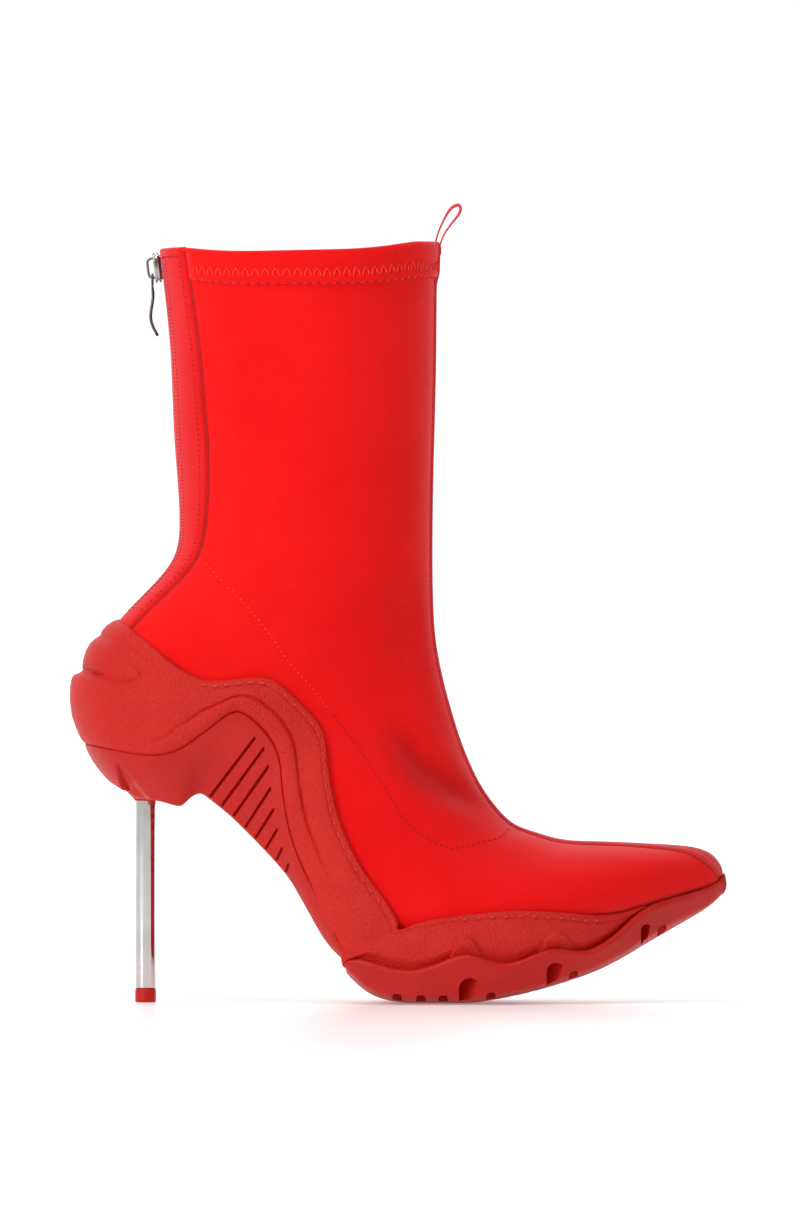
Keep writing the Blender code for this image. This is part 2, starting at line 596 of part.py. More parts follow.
def upper_grid():
    """Places along and around the upper: columns from the slit round the front and back to the slit."""
    hem = np.interp(HEM_DEPTH, [0, SOCK[0, 1] - SOCK[1, 1]], [0, KNOTS[1]])
    down = np.concatenate([[0.0, hem - 0.3, hem + 0.1], np.linspace(hem, at_row(ROW_ROUND), LENGTH_ROWS)[1:]])
    down = np.concatenate([down, at_row(np.array([ROW_ROUND + 0.5, ROW_ROUND + 0.9])), KNOTS[-1:]])
    slit = angle_of_half(down, np.where(down < at_row(ZIP_END_ROW), SLIT_HALF, SEAM_HALF))
    cut = angle_from_back(down, LASTING_CUT)
    under = at_row(ROW_UNDER_HEEL)
    corner = at_row(ROW_HEEL_CORNER)
    first = slit + (cut - slit) * ease((down - at_row(ROW_HEEL_CORNER + 0.3)) / (under - corner))
    edge = angle_from_back(down, np.interp(down, at_row(FACING_ROWS), FACING_EDGE))
    even = first + (math.pi - first) * 0.2
    second = edge + (even - edge) * ease((down - at_row(ZIP_END_ROW)) / (under - at_row(ZIP_END_ROW)))
    second = np.maximum(second, first + 0.05)
    near = first[:, None] + (second - first)[:, None] * np.linspace(0, 1, FACING_CELLS + 1)[:-1]
    far = second[:, None] + (math.pi - second)[:, None] * np.linspace(0, 1, SIDE_CELLS + 1)
    half = np.concatenate([near, far], axis=1)
    angle = np.concatenate([half, 2 * math.pi - half[:, -2::-1]], axis=1) - math.pi / 2
    along = np.repeat(down[:, None], angle.shape[1], axis=1)
    stands = np.zeros_like(angle)
    stands[:2, FACING_CELLS + 1:-FACING_CELLS - 1] = HEM_STEP
    closed = (down > at_row(ZIP_END_ROW)) & (down < at_row(ROW_HEEL_CORNER + 0.4))
    return along, angle, stands, closed


def add_upper():
    """Hollow knitted upper, open at the collar, along the zip slit and underneath."""
    along, angle, stands, closed = upper_grid()
    outer = sock_surface(along, angle, stands)
    inner = sock_surface(along, angle, -WALL)
    nose = int(np.searchsorted(along[:, 0], at_row(ROW_NOSE)))
    middle = inner[nose].mean(axis=0)
    shrink = np.linspace(1, 0, along.shape[0] - nose)[:, None, None]
    inner[nose:] = middle + (inner[nose] - middle) * shrink
    present = np.ones((along.shape[0] - 1, along.shape[1]), bool)
    present[:, -1] = closed[:-1] & closed[1:]
    present[-1:, -1] = True
    return add_shell("upper", outer, inner, present, "red_knit", along.shape[1] // 2)


def sock_form(name, offset, first_row, last_row):
    """Filled form of the foot at an offset from the upper's outer face, flat across its open bottom."""
    along, angle, _, _ = upper_grid()
    keep = (along[:, 0] > at_row(first_row)) & (along[:, 0] < at_row(last_row))
    return add_loft(name, sock_surface(along[keep], angle[keep], offset), None)


def add_strip(name, along, angle, low, high, slot, turn):
    """Strip that lies on the upper between two offsets from its outer face."""
    present = np.ones((angle.shape[0] - 1, angle.shape[1] - 1), bool)
    outer = sock_surface(along, angle, high)
    inner = sock_surface(along, angle, low)
    return add_shell(name, outer, inner, present, slot, turn)


def add_zip(clear):
    """Facings beside the zip, kept clear of the heel counter, and the closed chain between them."""
    along, angle, _, _ = upper_grid()
    rows = int(np.searchsorted(along[:, 0], at_row(ZIP_END_ROW)))
    columns = FACING_CELLS + 1
    top = FIT_GAP + FACING_THICK
    for name, part, turn in (
            ("zip_facing_inner", slice(0, columns), columns), ("zip_facing_outer", slice(-columns, None), 0)):
        facing = add_strip(name, along[:rows, part], angle[:rows, part], FIT_GAP, top, "red_tape", turn)
        add_boolean(facing, clear, "DIFFERENCE")
    half = angle_of_half(along[:rows, 0], np.full(rows, SLIT_HALF - FIT_GAP))
    across = half[:, None] * np.linspace(-1, 1, 3) - math.pi / 2
    add_strip("zip_chain", along[:rows, :3], across, CHAIN_LOW, CHAIN_HIGH, "dark_lining", 1)


def add_tape():
    """Ribbed binding over the front seam from the collar to the toe."""
    down = upper_grid()[0][:, 0]
    down = down[down < at_row(TAPE_END_ROW)]
    half = angle_across_front(down, np.full_like(down, TAPE_HALF))
    angle = math.pi / 2 + half[:, None] * np.linspace(-1, 1, TAPE_CELLS + 1)
    along = np.repeat(down[:, None], TAPE_CELLS + 1, axis=1)
    lift = np.where(np.arange(len(down)) < 2, HEM_STEP, 0.0)[:, None]
    low = TAPE_GAP + lift
    return add_strip("seam_tape", along, angle, low, low + TAPE_THICK, "red_tape", TAPE_CELLS // 2)


def smooth_path(path, count):
    """Even points on a smooth curve through a short list of side-view points."""
    gone = np.concatenate([[0.0], np.cumsum(np.hypot(*np.diff(path, axis=0).T))])
    return spline(gone, path, np.linspace(0, gone[-1], count))


def ribbon_rings(path, width, thick):
    """Rings of a flat ribbon along a side-view path, square to the path, centred on the middle plane."""
    run = np.gradient(path, axis=0)
    run /= np.linalg.norm(run, axis=1, keepdims=True)
    off = np.stack([-run[:, 1], run[:, 0]], axis=1) * thick / 2
    rings = []
    for side, y in ((1, -width / 2), (1, width / 2), (-1, width / 2), (-1, -width / 2)):
        spot = path + side * off
        rings.append(np.stack([spot[:, 0], np.full(len(path), y), spot[:, 1]], axis=1))
    return np.stack(rings, axis=1)


def add_tube(name, x, low, high, radius, slot, sides=24):
    """Upright round bar; low and high give its ends, each with its own radius."""
    turn = np.linspace(0, 2 * math.pi, sides, endpoint=False)
    rings = []
    for z, r in ((low, radius[0]), (high, radius[1])):
        rings.append(np.stack([x + r * np.cos(turn), r * np.sin(turn) + swing(x), np.full(sides, z)], axis=1))
    return add_loft(name, np.array(rings), slot)


def add_slot_cutter():
    """Thin slanting blades, eight on each side, that follow the wall of the shank cover."""
    wall = block_wall(41)
    points = []
    faces = []
    for upper_x, upper_z, lower_x, lower_z in SLOTS:
        run = np.array([lower_x - upper_x, lower_z - upper_z])
        run /= np.linalg.norm(run)
        ends = np.array([(upper_x, upper_z), (lower_x + CUT_BEYOND * run[0], lower_z + CUT_BEYOND * run[1])])
        half = wall_half(wall, np.array([(upper_x, upper_z), (lower_x, lower_z)]))
        across = np.array([-run[1], run[0]]) * SLOT_WIDTH / 2
        for mirror in (-1, 1):
            start = len(points)
            for end, y in zip(ends, half):
                for side, depth in ((1, CUT_BEYOND), (-1, CUT_BEYOND), (-1, -SLOT_DEPTH), (1, -SLOT_DEPTH)):
                    spot = end + side * across
                    points.append((spot[0], mirror * (y + depth) + float(swing(spot[0])), spot[1]))
            for ring in ((0, 1, 2, 3), (4, 5, 6, 7), (0, 1, 5, 4), (1, 2, 6, 5), (2, 3, 7, 6), (3, 0, 4, 7)):
                faces.append(tuple(start + v for v in ring))
    return add_object("slot_cutter", points, faces, None, smooth=False)


def add_notch_cutter():
    """Round-topped notches in both edges of the tread."""
    wall = tread_wall()
    points = []
    faces = []
    for start_x, end_x, top_z in NOTCHES:
        radius = (end_x - start_x) / 2
        turn = np.linspace(0, math.pi, NOTCH_STEPS + 1)
        middle = (start_x + end_x) / 2
        arch_x = np.concatenate([[start_x], middle - radius * np.cos(turn), [end_x]])
        arch_z = np.concatenate([[-CUT_BEYOND], top_z - radius + radius * np.sin(turn), [-CUT_BEYOND]])
        half = wall_half(wall, np.array([(middle, top_z)]))[0]
        reach = min(NOTCH_DEPTH, half * NOTCH_SHARE)
        for mirror in (-1, 1):
            first = len(points)
            size = len(arch_x)
            for y in (half + 2 * CUT_BEYOND, half - reach):
                for x, z in zip(arch_x, arch_z):
                    points.append((x, mirror * y + float(swing(middle)), z))
            for j in range(size):
                k = (j + 1) % size
                faces.append((first + j, first + k, first + size + k, first + size + j))
            faces.append(tuple(range(first, first + size)))
            faces.append(tuple(range(first + size, first + 2 * size)))
    return add_object("notch_cutter", points, faces, None, smooth=False)


def add_groove_cutter():
    """Straight grooves across the whole tread, square to its lower face."""
    lower = np.concatenate([FORE[:, :2], TOE[:, :2]])
    points = []
    faces = []
    for middle in GROOVES:
        x = np.array([middle - GROOVE_WIDTH / 2, middle + GROOVE_WIDTH / 2])
        floor = np.interp(x, lower[:, 0], lower[:, 1])
        start = len(points)
        for y in (-60.0, 60.0):
            points.append((x[0], y, floor[0] - CUT_BEYOND))
            points.append((x[1], y, floor[1] - CUT_BEYOND))
            points.append((x[1], y, floor[1] + GROOVE_DEPTH))
            points.append((x[0], y, floor[0] + GROOVE_DEPTH))
        for ring in ((0, 1, 2, 3), (4, 5, 6, 7), (0, 1, 5, 4), (1, 2, 6, 5), (2, 3, 7, 6), (3, 0, 4, 7)):
            faces.append(tuple(start + v for v in ring))
    return add_object("groove_cutter", points, faces, None, smooth=False)


def inside_half(x, z, depth):
    """Half-width left inside the upper at a depth from its outer face, where the side view shows (x, z).

    It is the least of the half-widths around the place, each less the part of the depth that is still to go.
    """
    least = sock_half(x, z) - depth
    for tilt in np.radians((30.0, 60.0, 88.0)):
        for turn in np.radians(np.arange(0.0, 360.0, 30.0)):
            reach = depth * math.sin(tilt)
            half = sock_half(x + reach * math.cos(turn), z + reach * math.sin(turn))
            least = np.minimum(least, half - depth * math.cos(tilt))
    return least


def add_insole():
    """Board the foot stands on: a slab along the bottom line whose edge follows the inside of the upper."""
    path = SOCK[ROW_HEEL_CORNER:ROW_POINT + 1, 2:4].copy()
    path[0, 1] = path[1, 1] + INSOLE_HEEL_RISE
    line = smooth_path(path, 400)
    run = np.gradient(line, axis=0)
    run /= np.linalg.norm(run, axis=1, keepdims=True)
    up = np.stack([-run[:, 1], run[:, 0]], axis=1)
    heights = np.linspace(LASTING_CUT + FIT_GAP, INSOLE_TOP, 4)
    spots = line[:, None] + heights[None, :, None] * up[:, None]
    depth = WALL + INSOLE_CLEAR
    half = np.stack([inside_half(spots[:, j, 0], spots[:, j, 1], depth) for j in range(len(heights))], axis=1)
    clear = np.flatnonzero(half.min(axis=1) > INSOLE_END_HALF)
    turn = np.linspace(0, math.pi, INSOLE_STATIONS)
    pick = np.round(np.interp((1 - np.cos(turn)) / 2, [0, 1], [clear[0], clear[-1]])).astype(int)
    near = np.stack([spots[pick][..., 0], -half[pick], spots[pick][..., 1]], axis=-1)
    rings = np.concatenate([near[:, ::-1], near * np.array([1.0, -1.0, 1.0])], axis=1)
    rings[..., 1] += swing(rings[..., 0])
    return add_loft("insole", rings, "dark_lining")


def slider_frame():
    """Outer face of the chain where the slider sits: origin at its top, and its down and out directions."""
    top = np.array([np.interp(SLIDER_TOP, [SOCK[1, 3], SOCK[0, 3]], [SOCK[1, 2], SOCK[0, 2]]), SLIDER_TOP])
    down = SOCK[1, 2:4] - SOCK[0, 2:4]
    down /= np.linalg.norm(down)
    out = np.array([down[1], -down[0]])
    return top + out * (2 * FIT_GAP + FACING_THICK), down, out


def add_slider():
    """Slider plate with rounded ends and the bridge that holds the pull."""
    top, down, out = slider_frame()
    rings = []
    for height, size in SLIDER_LAYERS:
        along = (SLIDER_OUTLINE[:, 1] - 0.5) * size * SLIDER_LENGTH + SLIDER_LENGTH / 2
        spot = top + np.outer(along, down) + out * height
        rings.append(np.stack([spot[:, 0], SLIDER_OUTLINE[:, 0] * SLIDER_WIDTH * size, spot[:, 1]], axis=1))
    slider = add_loft("zip_slider", np.array(rings), "bright_metal", smooth=False)
    middle = SLIDER_LENGTH / 2
    reach = BRIDGE_LENGTH / 2
    plate = SLIDER_LAYERS[-1, 0]
    rise = plate + BRIDGE_RISE
    arch = np.array([
        (middle - reach, plate - BRIDGE_ROOT), (middle - reach, rise - BRIDGE_CORNER),
        (middle - reach + BRIDGE_CORNER, rise), (middle + reach - BRIDGE_CORNER, rise),
        (middle + reach, rise - BRIDGE_CORNER), (middle + reach, plate - BRIDGE_ROOT),
    ])
    path = top + arch[:, :1] * down + arch[:, 1:] * out
    bridge = add_loft("bridge_form", ribbon_rings(path, BRIDGE_WIDTH, BRIDGE_THICK), None, smooth=False)
    add_boolean(slider, bridge, "UNION")
    return slider


def pull_pivot():
    """Centre of the pull's cross bar inside the lower end of the bridge."""
    top, down, out = slider_frame()
    along = SLIDER_LENGTH / 2 + BRIDGE_LENGTH / 2 - BRIDGE_THICK / 2 - FIT_GAP - PULL_BAR / 2
    return top + down * along + out * (SLIDER_LAYERS[-1, 0] + PULL_GAP + PULL_BAR / 2)


def add_pull():
    """Pull tab: thin curved strip with an eye, its origin on the axis of its cross bar."""
    pivot = pull_pivot()
    path = smooth_path(PULL_PATH, 15)
    line = np.stack([-path[:, 0], -path[:, 1]], axis=1)
    taper = np.interp(path[:, 1], PULL_TAPER_AT, PULL_TAPER)
    rings = ribbon_rings(line, PULL_WIDTH, PULL_THICK)
    rings[..., 1] *= taper[:, None]
    tab = add_loft("zip_pull", rings, "dark_metal", smooth=False)
    ends = np.array([(0.0, -PULL_BAR / 2), (0.0, -PULL_BAR / 2 - PULL_EYE_LENGTH)])
    eye = ribbon_rings(ends, PULL_EYE_WIDTH, CUT_BEYOND)
    add_boolean(tab, add_loft("eye_cutter", eye, None, smooth=False), "DIFFERENCE")
    place = (pivot[0] * MM, 0.0, pivot[1] * MM)
    tab.location = place
    bpy.data.objects["eye_cutter"].location = place
    return tab


def build():
    """All pieces of the boot."""
    for old in list(bpy.data.objects):
        bpy.data.objects.remove(old)
    add_upper()
    carve = sock_form("sole_carve", CURVED_GAP, ROW_ANKLE + 0.5, ROW_TIP)
    wall = both_sides(cup_wall())
    cup = add_loaf("sole_cup", wall, "red_rubber")
    wall[..., 2] += 2 * FIT_GAP
    clear = add_loaf("counter_clear", wall, None)
    add_boolean(cup, carve, "DIFFERENCE")
    block = add_loaf("heel_block", both_sides(block_wall(5)), "red_rubber")
    neck = add_tube("neck_form", STEM_X, NECK_BOTTOM, NECK_BOTTOM + NECK_RISE, NECK_RADII, None)
    bore = STEM_RADIUS + FIT_GAP
    mouth = NECK_BOTTOM - CUT_BEYOND
    socket = add_tube("socket_cutter", STEM_X, mouth, STEM_TOP + FIT_GAP, (bore, bore), None)
    add_boolean(block, neck, "UNION")
    add_boolean(block, carve, "DIFFERENCE")
    add_boolean(block, add_slot_cutter(), "DIFFERENCE")
    add_boolean(block, socket, "DIFFERENCE")
    outsole = add_loaf("outsole", both_sides(tread_wall()), "red_rubber")
    add_boolean(outsole, carve, "DIFFERENCE")
    add_boolean(outsole, add_notch_cutter(), "DIFFERENCE")
    add_boolean(outsole, add_groove_cutter(), "DIFFERENCE")
    add_tube("heel_stem", STEM_X, TIP_HEIGHT + FIT_GAP, STEM_TOP, (STEM_RADIUS, STEM_RADIUS), "bright_metal")
    add_tube("heel_tip", STEM_X, 0.0, TIP_HEIGHT, (TIP_RADIUS, TIP_RADIUS), "red_rubber")
    add_insole()
    add_zip(clear)
    add_tape()
    add_loft("pull_loop", ribbon_rings(smooth_path(LOOP_PATH, 24), LOOP_WIDTH, LOOP_THICK), "red_tape")
    add_slider()
    add_pull()


build()
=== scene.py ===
# %% [markdown]
# # A red stretch boot on a thin metal heel
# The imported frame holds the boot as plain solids. This lesson dresses them. Each piece is worked out again as a
# fine surface from the same tables of the last and the sole, in millimetres, and becomes metres in the mesh.
# The toe points along +X, up is +Z, and the camera looks along +Y at the outer side of a right boot.

import math

import bmesh
import bpy
import numpy as np
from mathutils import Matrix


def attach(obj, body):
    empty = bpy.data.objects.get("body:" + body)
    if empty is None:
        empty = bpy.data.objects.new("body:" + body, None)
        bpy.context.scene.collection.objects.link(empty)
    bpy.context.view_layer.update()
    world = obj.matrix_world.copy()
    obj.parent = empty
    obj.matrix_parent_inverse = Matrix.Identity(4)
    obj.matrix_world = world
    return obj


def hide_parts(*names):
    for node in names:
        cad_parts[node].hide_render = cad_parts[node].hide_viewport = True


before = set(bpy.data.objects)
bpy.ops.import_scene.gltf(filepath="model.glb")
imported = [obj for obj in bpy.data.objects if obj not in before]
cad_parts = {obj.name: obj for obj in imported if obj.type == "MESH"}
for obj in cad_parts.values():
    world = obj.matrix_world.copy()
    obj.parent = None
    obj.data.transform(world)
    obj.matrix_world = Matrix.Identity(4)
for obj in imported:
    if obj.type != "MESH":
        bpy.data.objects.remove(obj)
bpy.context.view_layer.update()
MM = 0.001

# %% [markdown]
# ## Small tools for curves
# A boot is all soft curves, so a table of a few measured points has to become a smooth run. A cubic spline
# does that for every column of a table at once. The second tool tells how far each point of a surface lies
# from a line drawn on the side view, which is how creases, seams and grooves find their place.

# %% Curves and distances


def spline(knots, values, at):
    """Natural cubic spline: between two knots a cubic whose slope and bend run on into the next one."""
    count = len(knots)
    step = np.diff(knots)
    rise = np.diff(values, axis=0) / step[:, None]
    matrix = np.eye(count)
    right = np.zeros_like(values)
    inner = np.arange(1, count - 1)
    matrix[inner, inner - 1] = step[:-1]
    matrix[inner, inner] = 2 * (step[:-1] + step[1:])
    matrix[inner, inner + 1] = step[1:]
    right[1:-1] = 6 * np.diff(rise, axis=0)
    bend = np.linalg.solve(matrix, right)
    k = np.clip(np.searchsorted(knots, at, side="right") - 1, 0, count - 2)
    d = (at - knots[k])[:, None]
    h = step[k][:, None]
    slope = rise[k] - h * (2 * bend[k] + bend[k + 1]) / 6
    return values[k] + slope * d + bend[k] / 2 * d ** 2 + (bend[k + 1] - bend[k]) / (6 * h) * d ** 3


def gone(path):
    """Distance run along a list of points, starting at zero."""
    return np.concatenate([[0.0], np.cumsum(np.linalg.norm(np.diff(path, axis=0), axis=1))])


def even_path(path, count):
    """Points at even spacing on the spline through a short list of points."""
    path = np.asarray(path, float)
    fine = spline(gone(path), path, np.linspace(0, gone(path)[-1], 40 * len(path)))
    run = gone(fine)
    at = np.linspace(0, run[-1], count)
    return np.stack([np.interp(at, run, fine[:, k]) for k in range(path.shape[1])], axis=1)


def ease(value):
    """Smooth step: three squares less two cubes, held at 0 below and at 1 above."""
    t = np.clip(value, 0, 1)
    return t * t * (3 - 2 * t)


def boxy(value, power):
    """Sine or cosine with its sign kept and its size raised to a power; a power below 1 makes an oval boxy."""
    return np.sign(value) * np.abs(value) ** power


def rounded(distance, radius):
    """How far a rounded edge falls back at a distance from it: the radius less the height of a quarter circle."""
    return radius - np.sqrt(np.clip(radius ** 2 - np.clip(radius - distance, 0, radius) ** 2, 0, None))


def unit(vectors):
    """Directions of length one: each vector divided by its length."""
    return vectors / np.maximum(np.linalg.norm(vectors, axis=-1, keepdims=True), 1e-9)


def full_turn(count):
    """Even angles once round a circle."""
    return np.linspace(0, 2 * math.pi, count, endpoint=False)


def from_line(path, x, z):
    """Distance of places (x, z) from a line in the side view, signed by side, and the way along it.

    The foot of each place on each piece of the line is the projection, held between the ends of the piece.
    """
    path = np.asarray(path, float)
    run = np.diff(path, axis=0)
    start = gone(path)[:-1]
    gap = np.stack([x.ravel(), z.ravel()], axis=1)[:, None] - path[None, :-1]
    part = np.clip((gap * run).sum(-1) / (run ** 2).sum(-1), 0, 1)
    off = gap - part[..., None] * run
    far = np.hypot(off[..., 0], off[..., 1])
    best = far.argmin(axis=1)
    row = np.arange(len(best))
    side = run[best, 0] * gap[row, best, 1] - run[best, 1] * gap[row, best, 0]
    way = start[best] + part[row, best] * np.hypot(run[best, 0], run[best, 1])
    return (far[row, best] * np.sign(side)).reshape(x.shape), way.reshape(x.shape)


print("half way of the smooth step:", float(ease(np.array(0.5))))

# %% [markdown]
# ## From arrays to meshes
# Two shapes of grid make almost everything here: a sheet of rows and columns, and a row of closed rings. Their
# faces are index arithmetic on whole arrays. Points that fall together, as at the tip of the toe, are merged,
# and the sign of the volume tells whether the faces look outward.

# %% Grids into pieces
SHARP = 38.0
MERGE = 1e-6


def sheet_faces(rows, columns):
    """Four-sided faces of an open grid: a point, the next in its row, and the two below them."""
    i, j = np.meshgrid(np.arange(rows - 1), np.arange(columns - 1), indexing="ij")
    a = i * columns + j
    return np.stack([a, a + 1, a + columns + 1, a + columns], axis=-1).reshape(-1, 4)


def ring_faces(count, size):
    """Four-sided faces between neighbouring closed rings of points."""
    i, j = np.meshgrid(np.arange(count - 1), np.arange(size), indexing="ij")
    k = (j + 1) % size
    return np.stack([i * size + j, i * size + k, (i + 1) * size + k, (i + 1) * size + j], axis=-1).reshape(-1, 4)


def rim_faces(faces, back):
    """Faces that join the free edges of a sheet to the same edges of its other side, back points further on."""
    edge = np.stack([faces, np.roll(faces, -1, axis=1)], axis=-1).reshape(-1, 2)
    size = edge.max() + 1
    free = edge[~np.isin(edge[:, 0] * size + edge[:, 1], edge[:, 1] * size + edge[:, 0])]
    return np.stack([free[:, 1], free[:, 0], back + free[:, 0], back + free[:, 1]], axis=1)


def put(name, data):
    """Object for a mesh, a light or a camera, linked into the scene."""
    made = bpy.data.objects.new(name, data)
    bpy.context.scene.collection.objects.link(made)
    return made


def smooth(mesh, sharp):
    """Smooth shading, apart from edges sharper than an angle in degrees."""
    mesh.polygons.foreach_set("use_smooth", np.ones(len(mesh.polygons), bool))
    mesh.set_sharp_from_angle(angle=math.radians(sharp))


def add_piece(name, points, faces, finish, nodes=(), body="boot", uv=None, sharp=SHARP, caps=(), painted_shade=None):
    """Mesh object from points in millimetres: merged, turned outward, smooth apart from its sharp edges."""
    mesh = bpy.data.meshes.new(name)
    mesh.from_pydata((np.asarray(points).reshape(-1, 3) * MM).tolist(), [], faces.tolist() + [list(c) for c in caps])
    if uv is not None:
        corner = np.zeros(len(mesh.loops), np.int32)
        mesh.loops.foreach_get("vertex_index", corner)
        layer = mesh.uv_layers.new(name="weave")
        layer.data.foreach_set("uv", (np.asarray(uv).reshape(-1, 2) * MM)[corner].ravel())
    # painted shade: each point keeps a share of the knit's colour, less in the folds
    if painted_shade is not None:
        mesh.attributes.new("painted_shade", "FLOAT", "POINT").data.foreach_set("value", np.asarray(painted_shade, np.float32).ravel())
    shape = bmesh.new()
    shape.from_mesh(mesh)
    bmesh.ops.remove_doubles(shape, verts=shape.verts, dist=MERGE)
    if shape.calc_volume(signed=True) < 0:
        bmesh.ops.reverse_faces(shape, faces=shape.faces)
    shape.to_mesh(mesh)
    shape.free()
    smooth(mesh, sharp)
    mesh.materials.append(finish)
    made = put(name, mesh)
    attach(made, body)
    if nodes:
        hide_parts(*nodes)
    print(f"{name}: {len(mesh.vertices)} points, {len(mesh.polygons)} faces")
    return made


def add_rings(name, rings, finish, nodes=(), body="boot", across=None, sharp=SHARP):
    """Closed piece through rings of points, with a flat cap on each end.

    Its weave map, where it has one, is a distance across the ring and the way along the middle of the rings.
    """
    count, size = rings.shape[:2]
    caps = [range(size)[::-1], range((count - 1) * size, count * size)]
    along = np.broadcast_to(gone(rings.mean(axis=1))[:, None], (count, size))
    uv = None if across is None else np.stack([np.broadcast_to(across, (count, size)), along], axis=-1)
    return add_piece(name, rings, ring_faces(count, size), finish, nodes, body, uv, sharp, caps)


def strip_weave(across, depth):
    """Weave map of a strip: the distance across it, and the depth below the collar."""
    return np.stack([np.broadcast_to(across, depth.shape), depth], axis=-1)


def add_wall(name, high, low, weave, finish, nodes, sharp=SHARP, faces=None, painted_shade=None):
    """Wall from its upper and lower grid: both sheets, the lower one turned round, and a rim between their edges."""
    faces = sheet_faces(*high.shape[:2]) if faces is None else faces
    back = high.size // 3
    faces = np.concatenate([faces, back + faces[:, ::-1], rim_faces(faces, back)])
    # the painted shade goes on both sheets of the wall
    painted_shade = None if painted_shade is None else np.concatenate([painted_shade, painted_shade])
    return add_piece(name, np.concatenate([high, low]), faces, finish, nodes,
                     uv=np.concatenate([weave, weave]), sharp=sharp, painted_shade=painted_shade)


# %% [markdown]
# ## Finishes
# Knit, tape and rubber are all red here, and only their surface tells them apart. Each finish is built from
# nodes: noise for the patchy dye, waves on the piece's own weave map for loops and ribs, and fine noise as bump
# for moulded rubber. Values that are the same all over are set on the shader itself.

# %% Node helpers


def screen(red, green, blue):
    """Linear colour from screen values of 0 to 255, the screen curve undone."""
    c = np.array([red, green, blue]) / 255
    linear = np.where(c <= 0.04045, c / 12.92, ((c + 0.055) / 1.055) ** 2.4)
    return (*linear.tolist(), 1.0)


def new_finish(name, **sockets):
    """Material with a Principled shader and constant values on its sockets."""
    made = bpy.data.materials.new(name)
    made.use_nodes = True
    shader = made.node_tree.nodes["Principled BSDF"]
    for socket, value in sockets.items():
        shader.inputs[socket.replace("_", " ")].default_value = value
    return made, shader


def add_node(finish, kind, inputs=(), **settings):
    """Node with its settings and the values of its unlinked inputs."""
    made = finish.node_tree.nodes.new(kind)
    for name, value in settings.items():
        setattr(made, name, value)
    for name, value in dict(inputs).items():
        made.inputs[name].default_value = value
    return made


def wire(finish, source, target):
    """Link from one socket to another."""
    finish.node_tree.links.new(source, target)


def noise(finish, scale, detail):
    """Noise on Object coordinates, which are metres, so the scale is bumps for each metre."""
    place = add_node(finish, "ShaderNodeTexCoord")
    made = add_node(finish, "ShaderNodeTexNoise", {"Scale": scale, "Detail": detail, "Roughness": 0.6})
    wire(finish, place.outputs["Object"], made.inputs["Vector"])
    return made.outputs["Fac"]


def waves(finish, pitch, direction):
    """Sine bands on the weave map; a band texture repeats each pi / 10, so the map is scaled to the pitch."""
    place = add_node(finish, "ShaderNodeUVMap", uv_map="weave")
    size = math.pi / 10 / (pitch * MM)
    turn = add_node(finish, "ShaderNodeMapping", {"Scale": (size, size, size)})
    made = add_node(finish, "ShaderNodeTexWave", {"Scale": 1.0, "Distortion": 0.0}, bands_direction=direction)
    wire(finish, place.outputs["UV"], turn.inputs["Vector"])
    wire(finish, turn.outputs["Vector"], made.inputs["Vector"])
    return made.outputs["Fac"]


def mixed(finish, part, low, high):
    """Colour that runs from low to high over the middle of a pattern, from 0.3 to 0.7."""
    ramp = add_node(finish, "ShaderNodeValToRGB")
    for end, position, colour in zip(ramp.color_ramp.elements, (0.3, 0.7), (low, high)):
        end.position, end.color = position, colour
    wire(finish, part, ramp.inputs["Fac"])
    return ramp.outputs["Color"]


def ranged(finish, part, low, high, start=0.0, end=1.0, **settings):
    """Value that runs from low to high as a pattern goes from start to end."""
    limits = {"From Min": start, "From Max": end, "To Min": low, "To Max": high}
    spread = add_node(finish, "ShaderNodeMapRange", limits, **settings)
    wire(finish, part, spread.inputs["Value"])
    return spread.outputs["Result"]


def added(finish, first, second, share):
    """First pattern plus a share of the second."""
    made = add_node(finish, "ShaderNodeMath", {1: share}, operation="MULTIPLY_ADD")
    wire(finish, second, made.inputs[0])
    wire(finish, first, made.inputs[2])
    return made.outputs["Value"]


def bumped(finish, shader, height, strength, depth):
    """Bump of a depth in millimetres on the shader's normal."""
    made = add_node(finish, "ShaderNodeBump", {"Strength": strength, "Distance": depth * MM})
    wire(finish, height, made.inputs["Height"])
    wire(finish, made.outputs["Normal"], shader.inputs["Normal"])


# %% Cloth finishes


def knit_finish(name, low, high, wale, course, strength, with_painted_shade=False):
    """Knitted cloth: wales across and courses along the weave map, fine fuzz, patchy colour, and painted shade that
    darkens it in the folds.
    """
    finish, shader = new_finish(name, Roughness=0.85, Specular_IOR_Level=0.1, Sheen_Weight=0.42,
                                Sheen_Roughness=0.4, Sheen_Tint=(1.0, 0.66, 0.74, 1.0))
    loops = added(finish, waves(finish, course, "Y"), waves(finish, wale, "X"), 0.6)
    height = added(finish, loops, noise(finish, 1600.0, 3.0), 0.7)
    colour = mixed(finish, noise(finish, 22.0, 3.0), low, high)
    # painted shade: the colour is multiplied by each point's kept share
    if with_painted_shade:
        painted_shade_share = add_node(finish, "ShaderNodeAttribute", attribute_name="painted_shade")
        blend = add_node(finish, "ShaderNodeMix", {"Factor": 1.0}, data_type="RGBA", blend_type="MULTIPLY")
        wire(finish, colour, blend.inputs["A"])
        wire(finish, painted_shade_share.outputs["Fac"], blend.inputs["B"])
        colour = blend.outputs["Result"]
    wire(finish, colour, shader.inputs["Base Color"])
    bumped(finish, shader, height, strength, 0.16)
    return finish


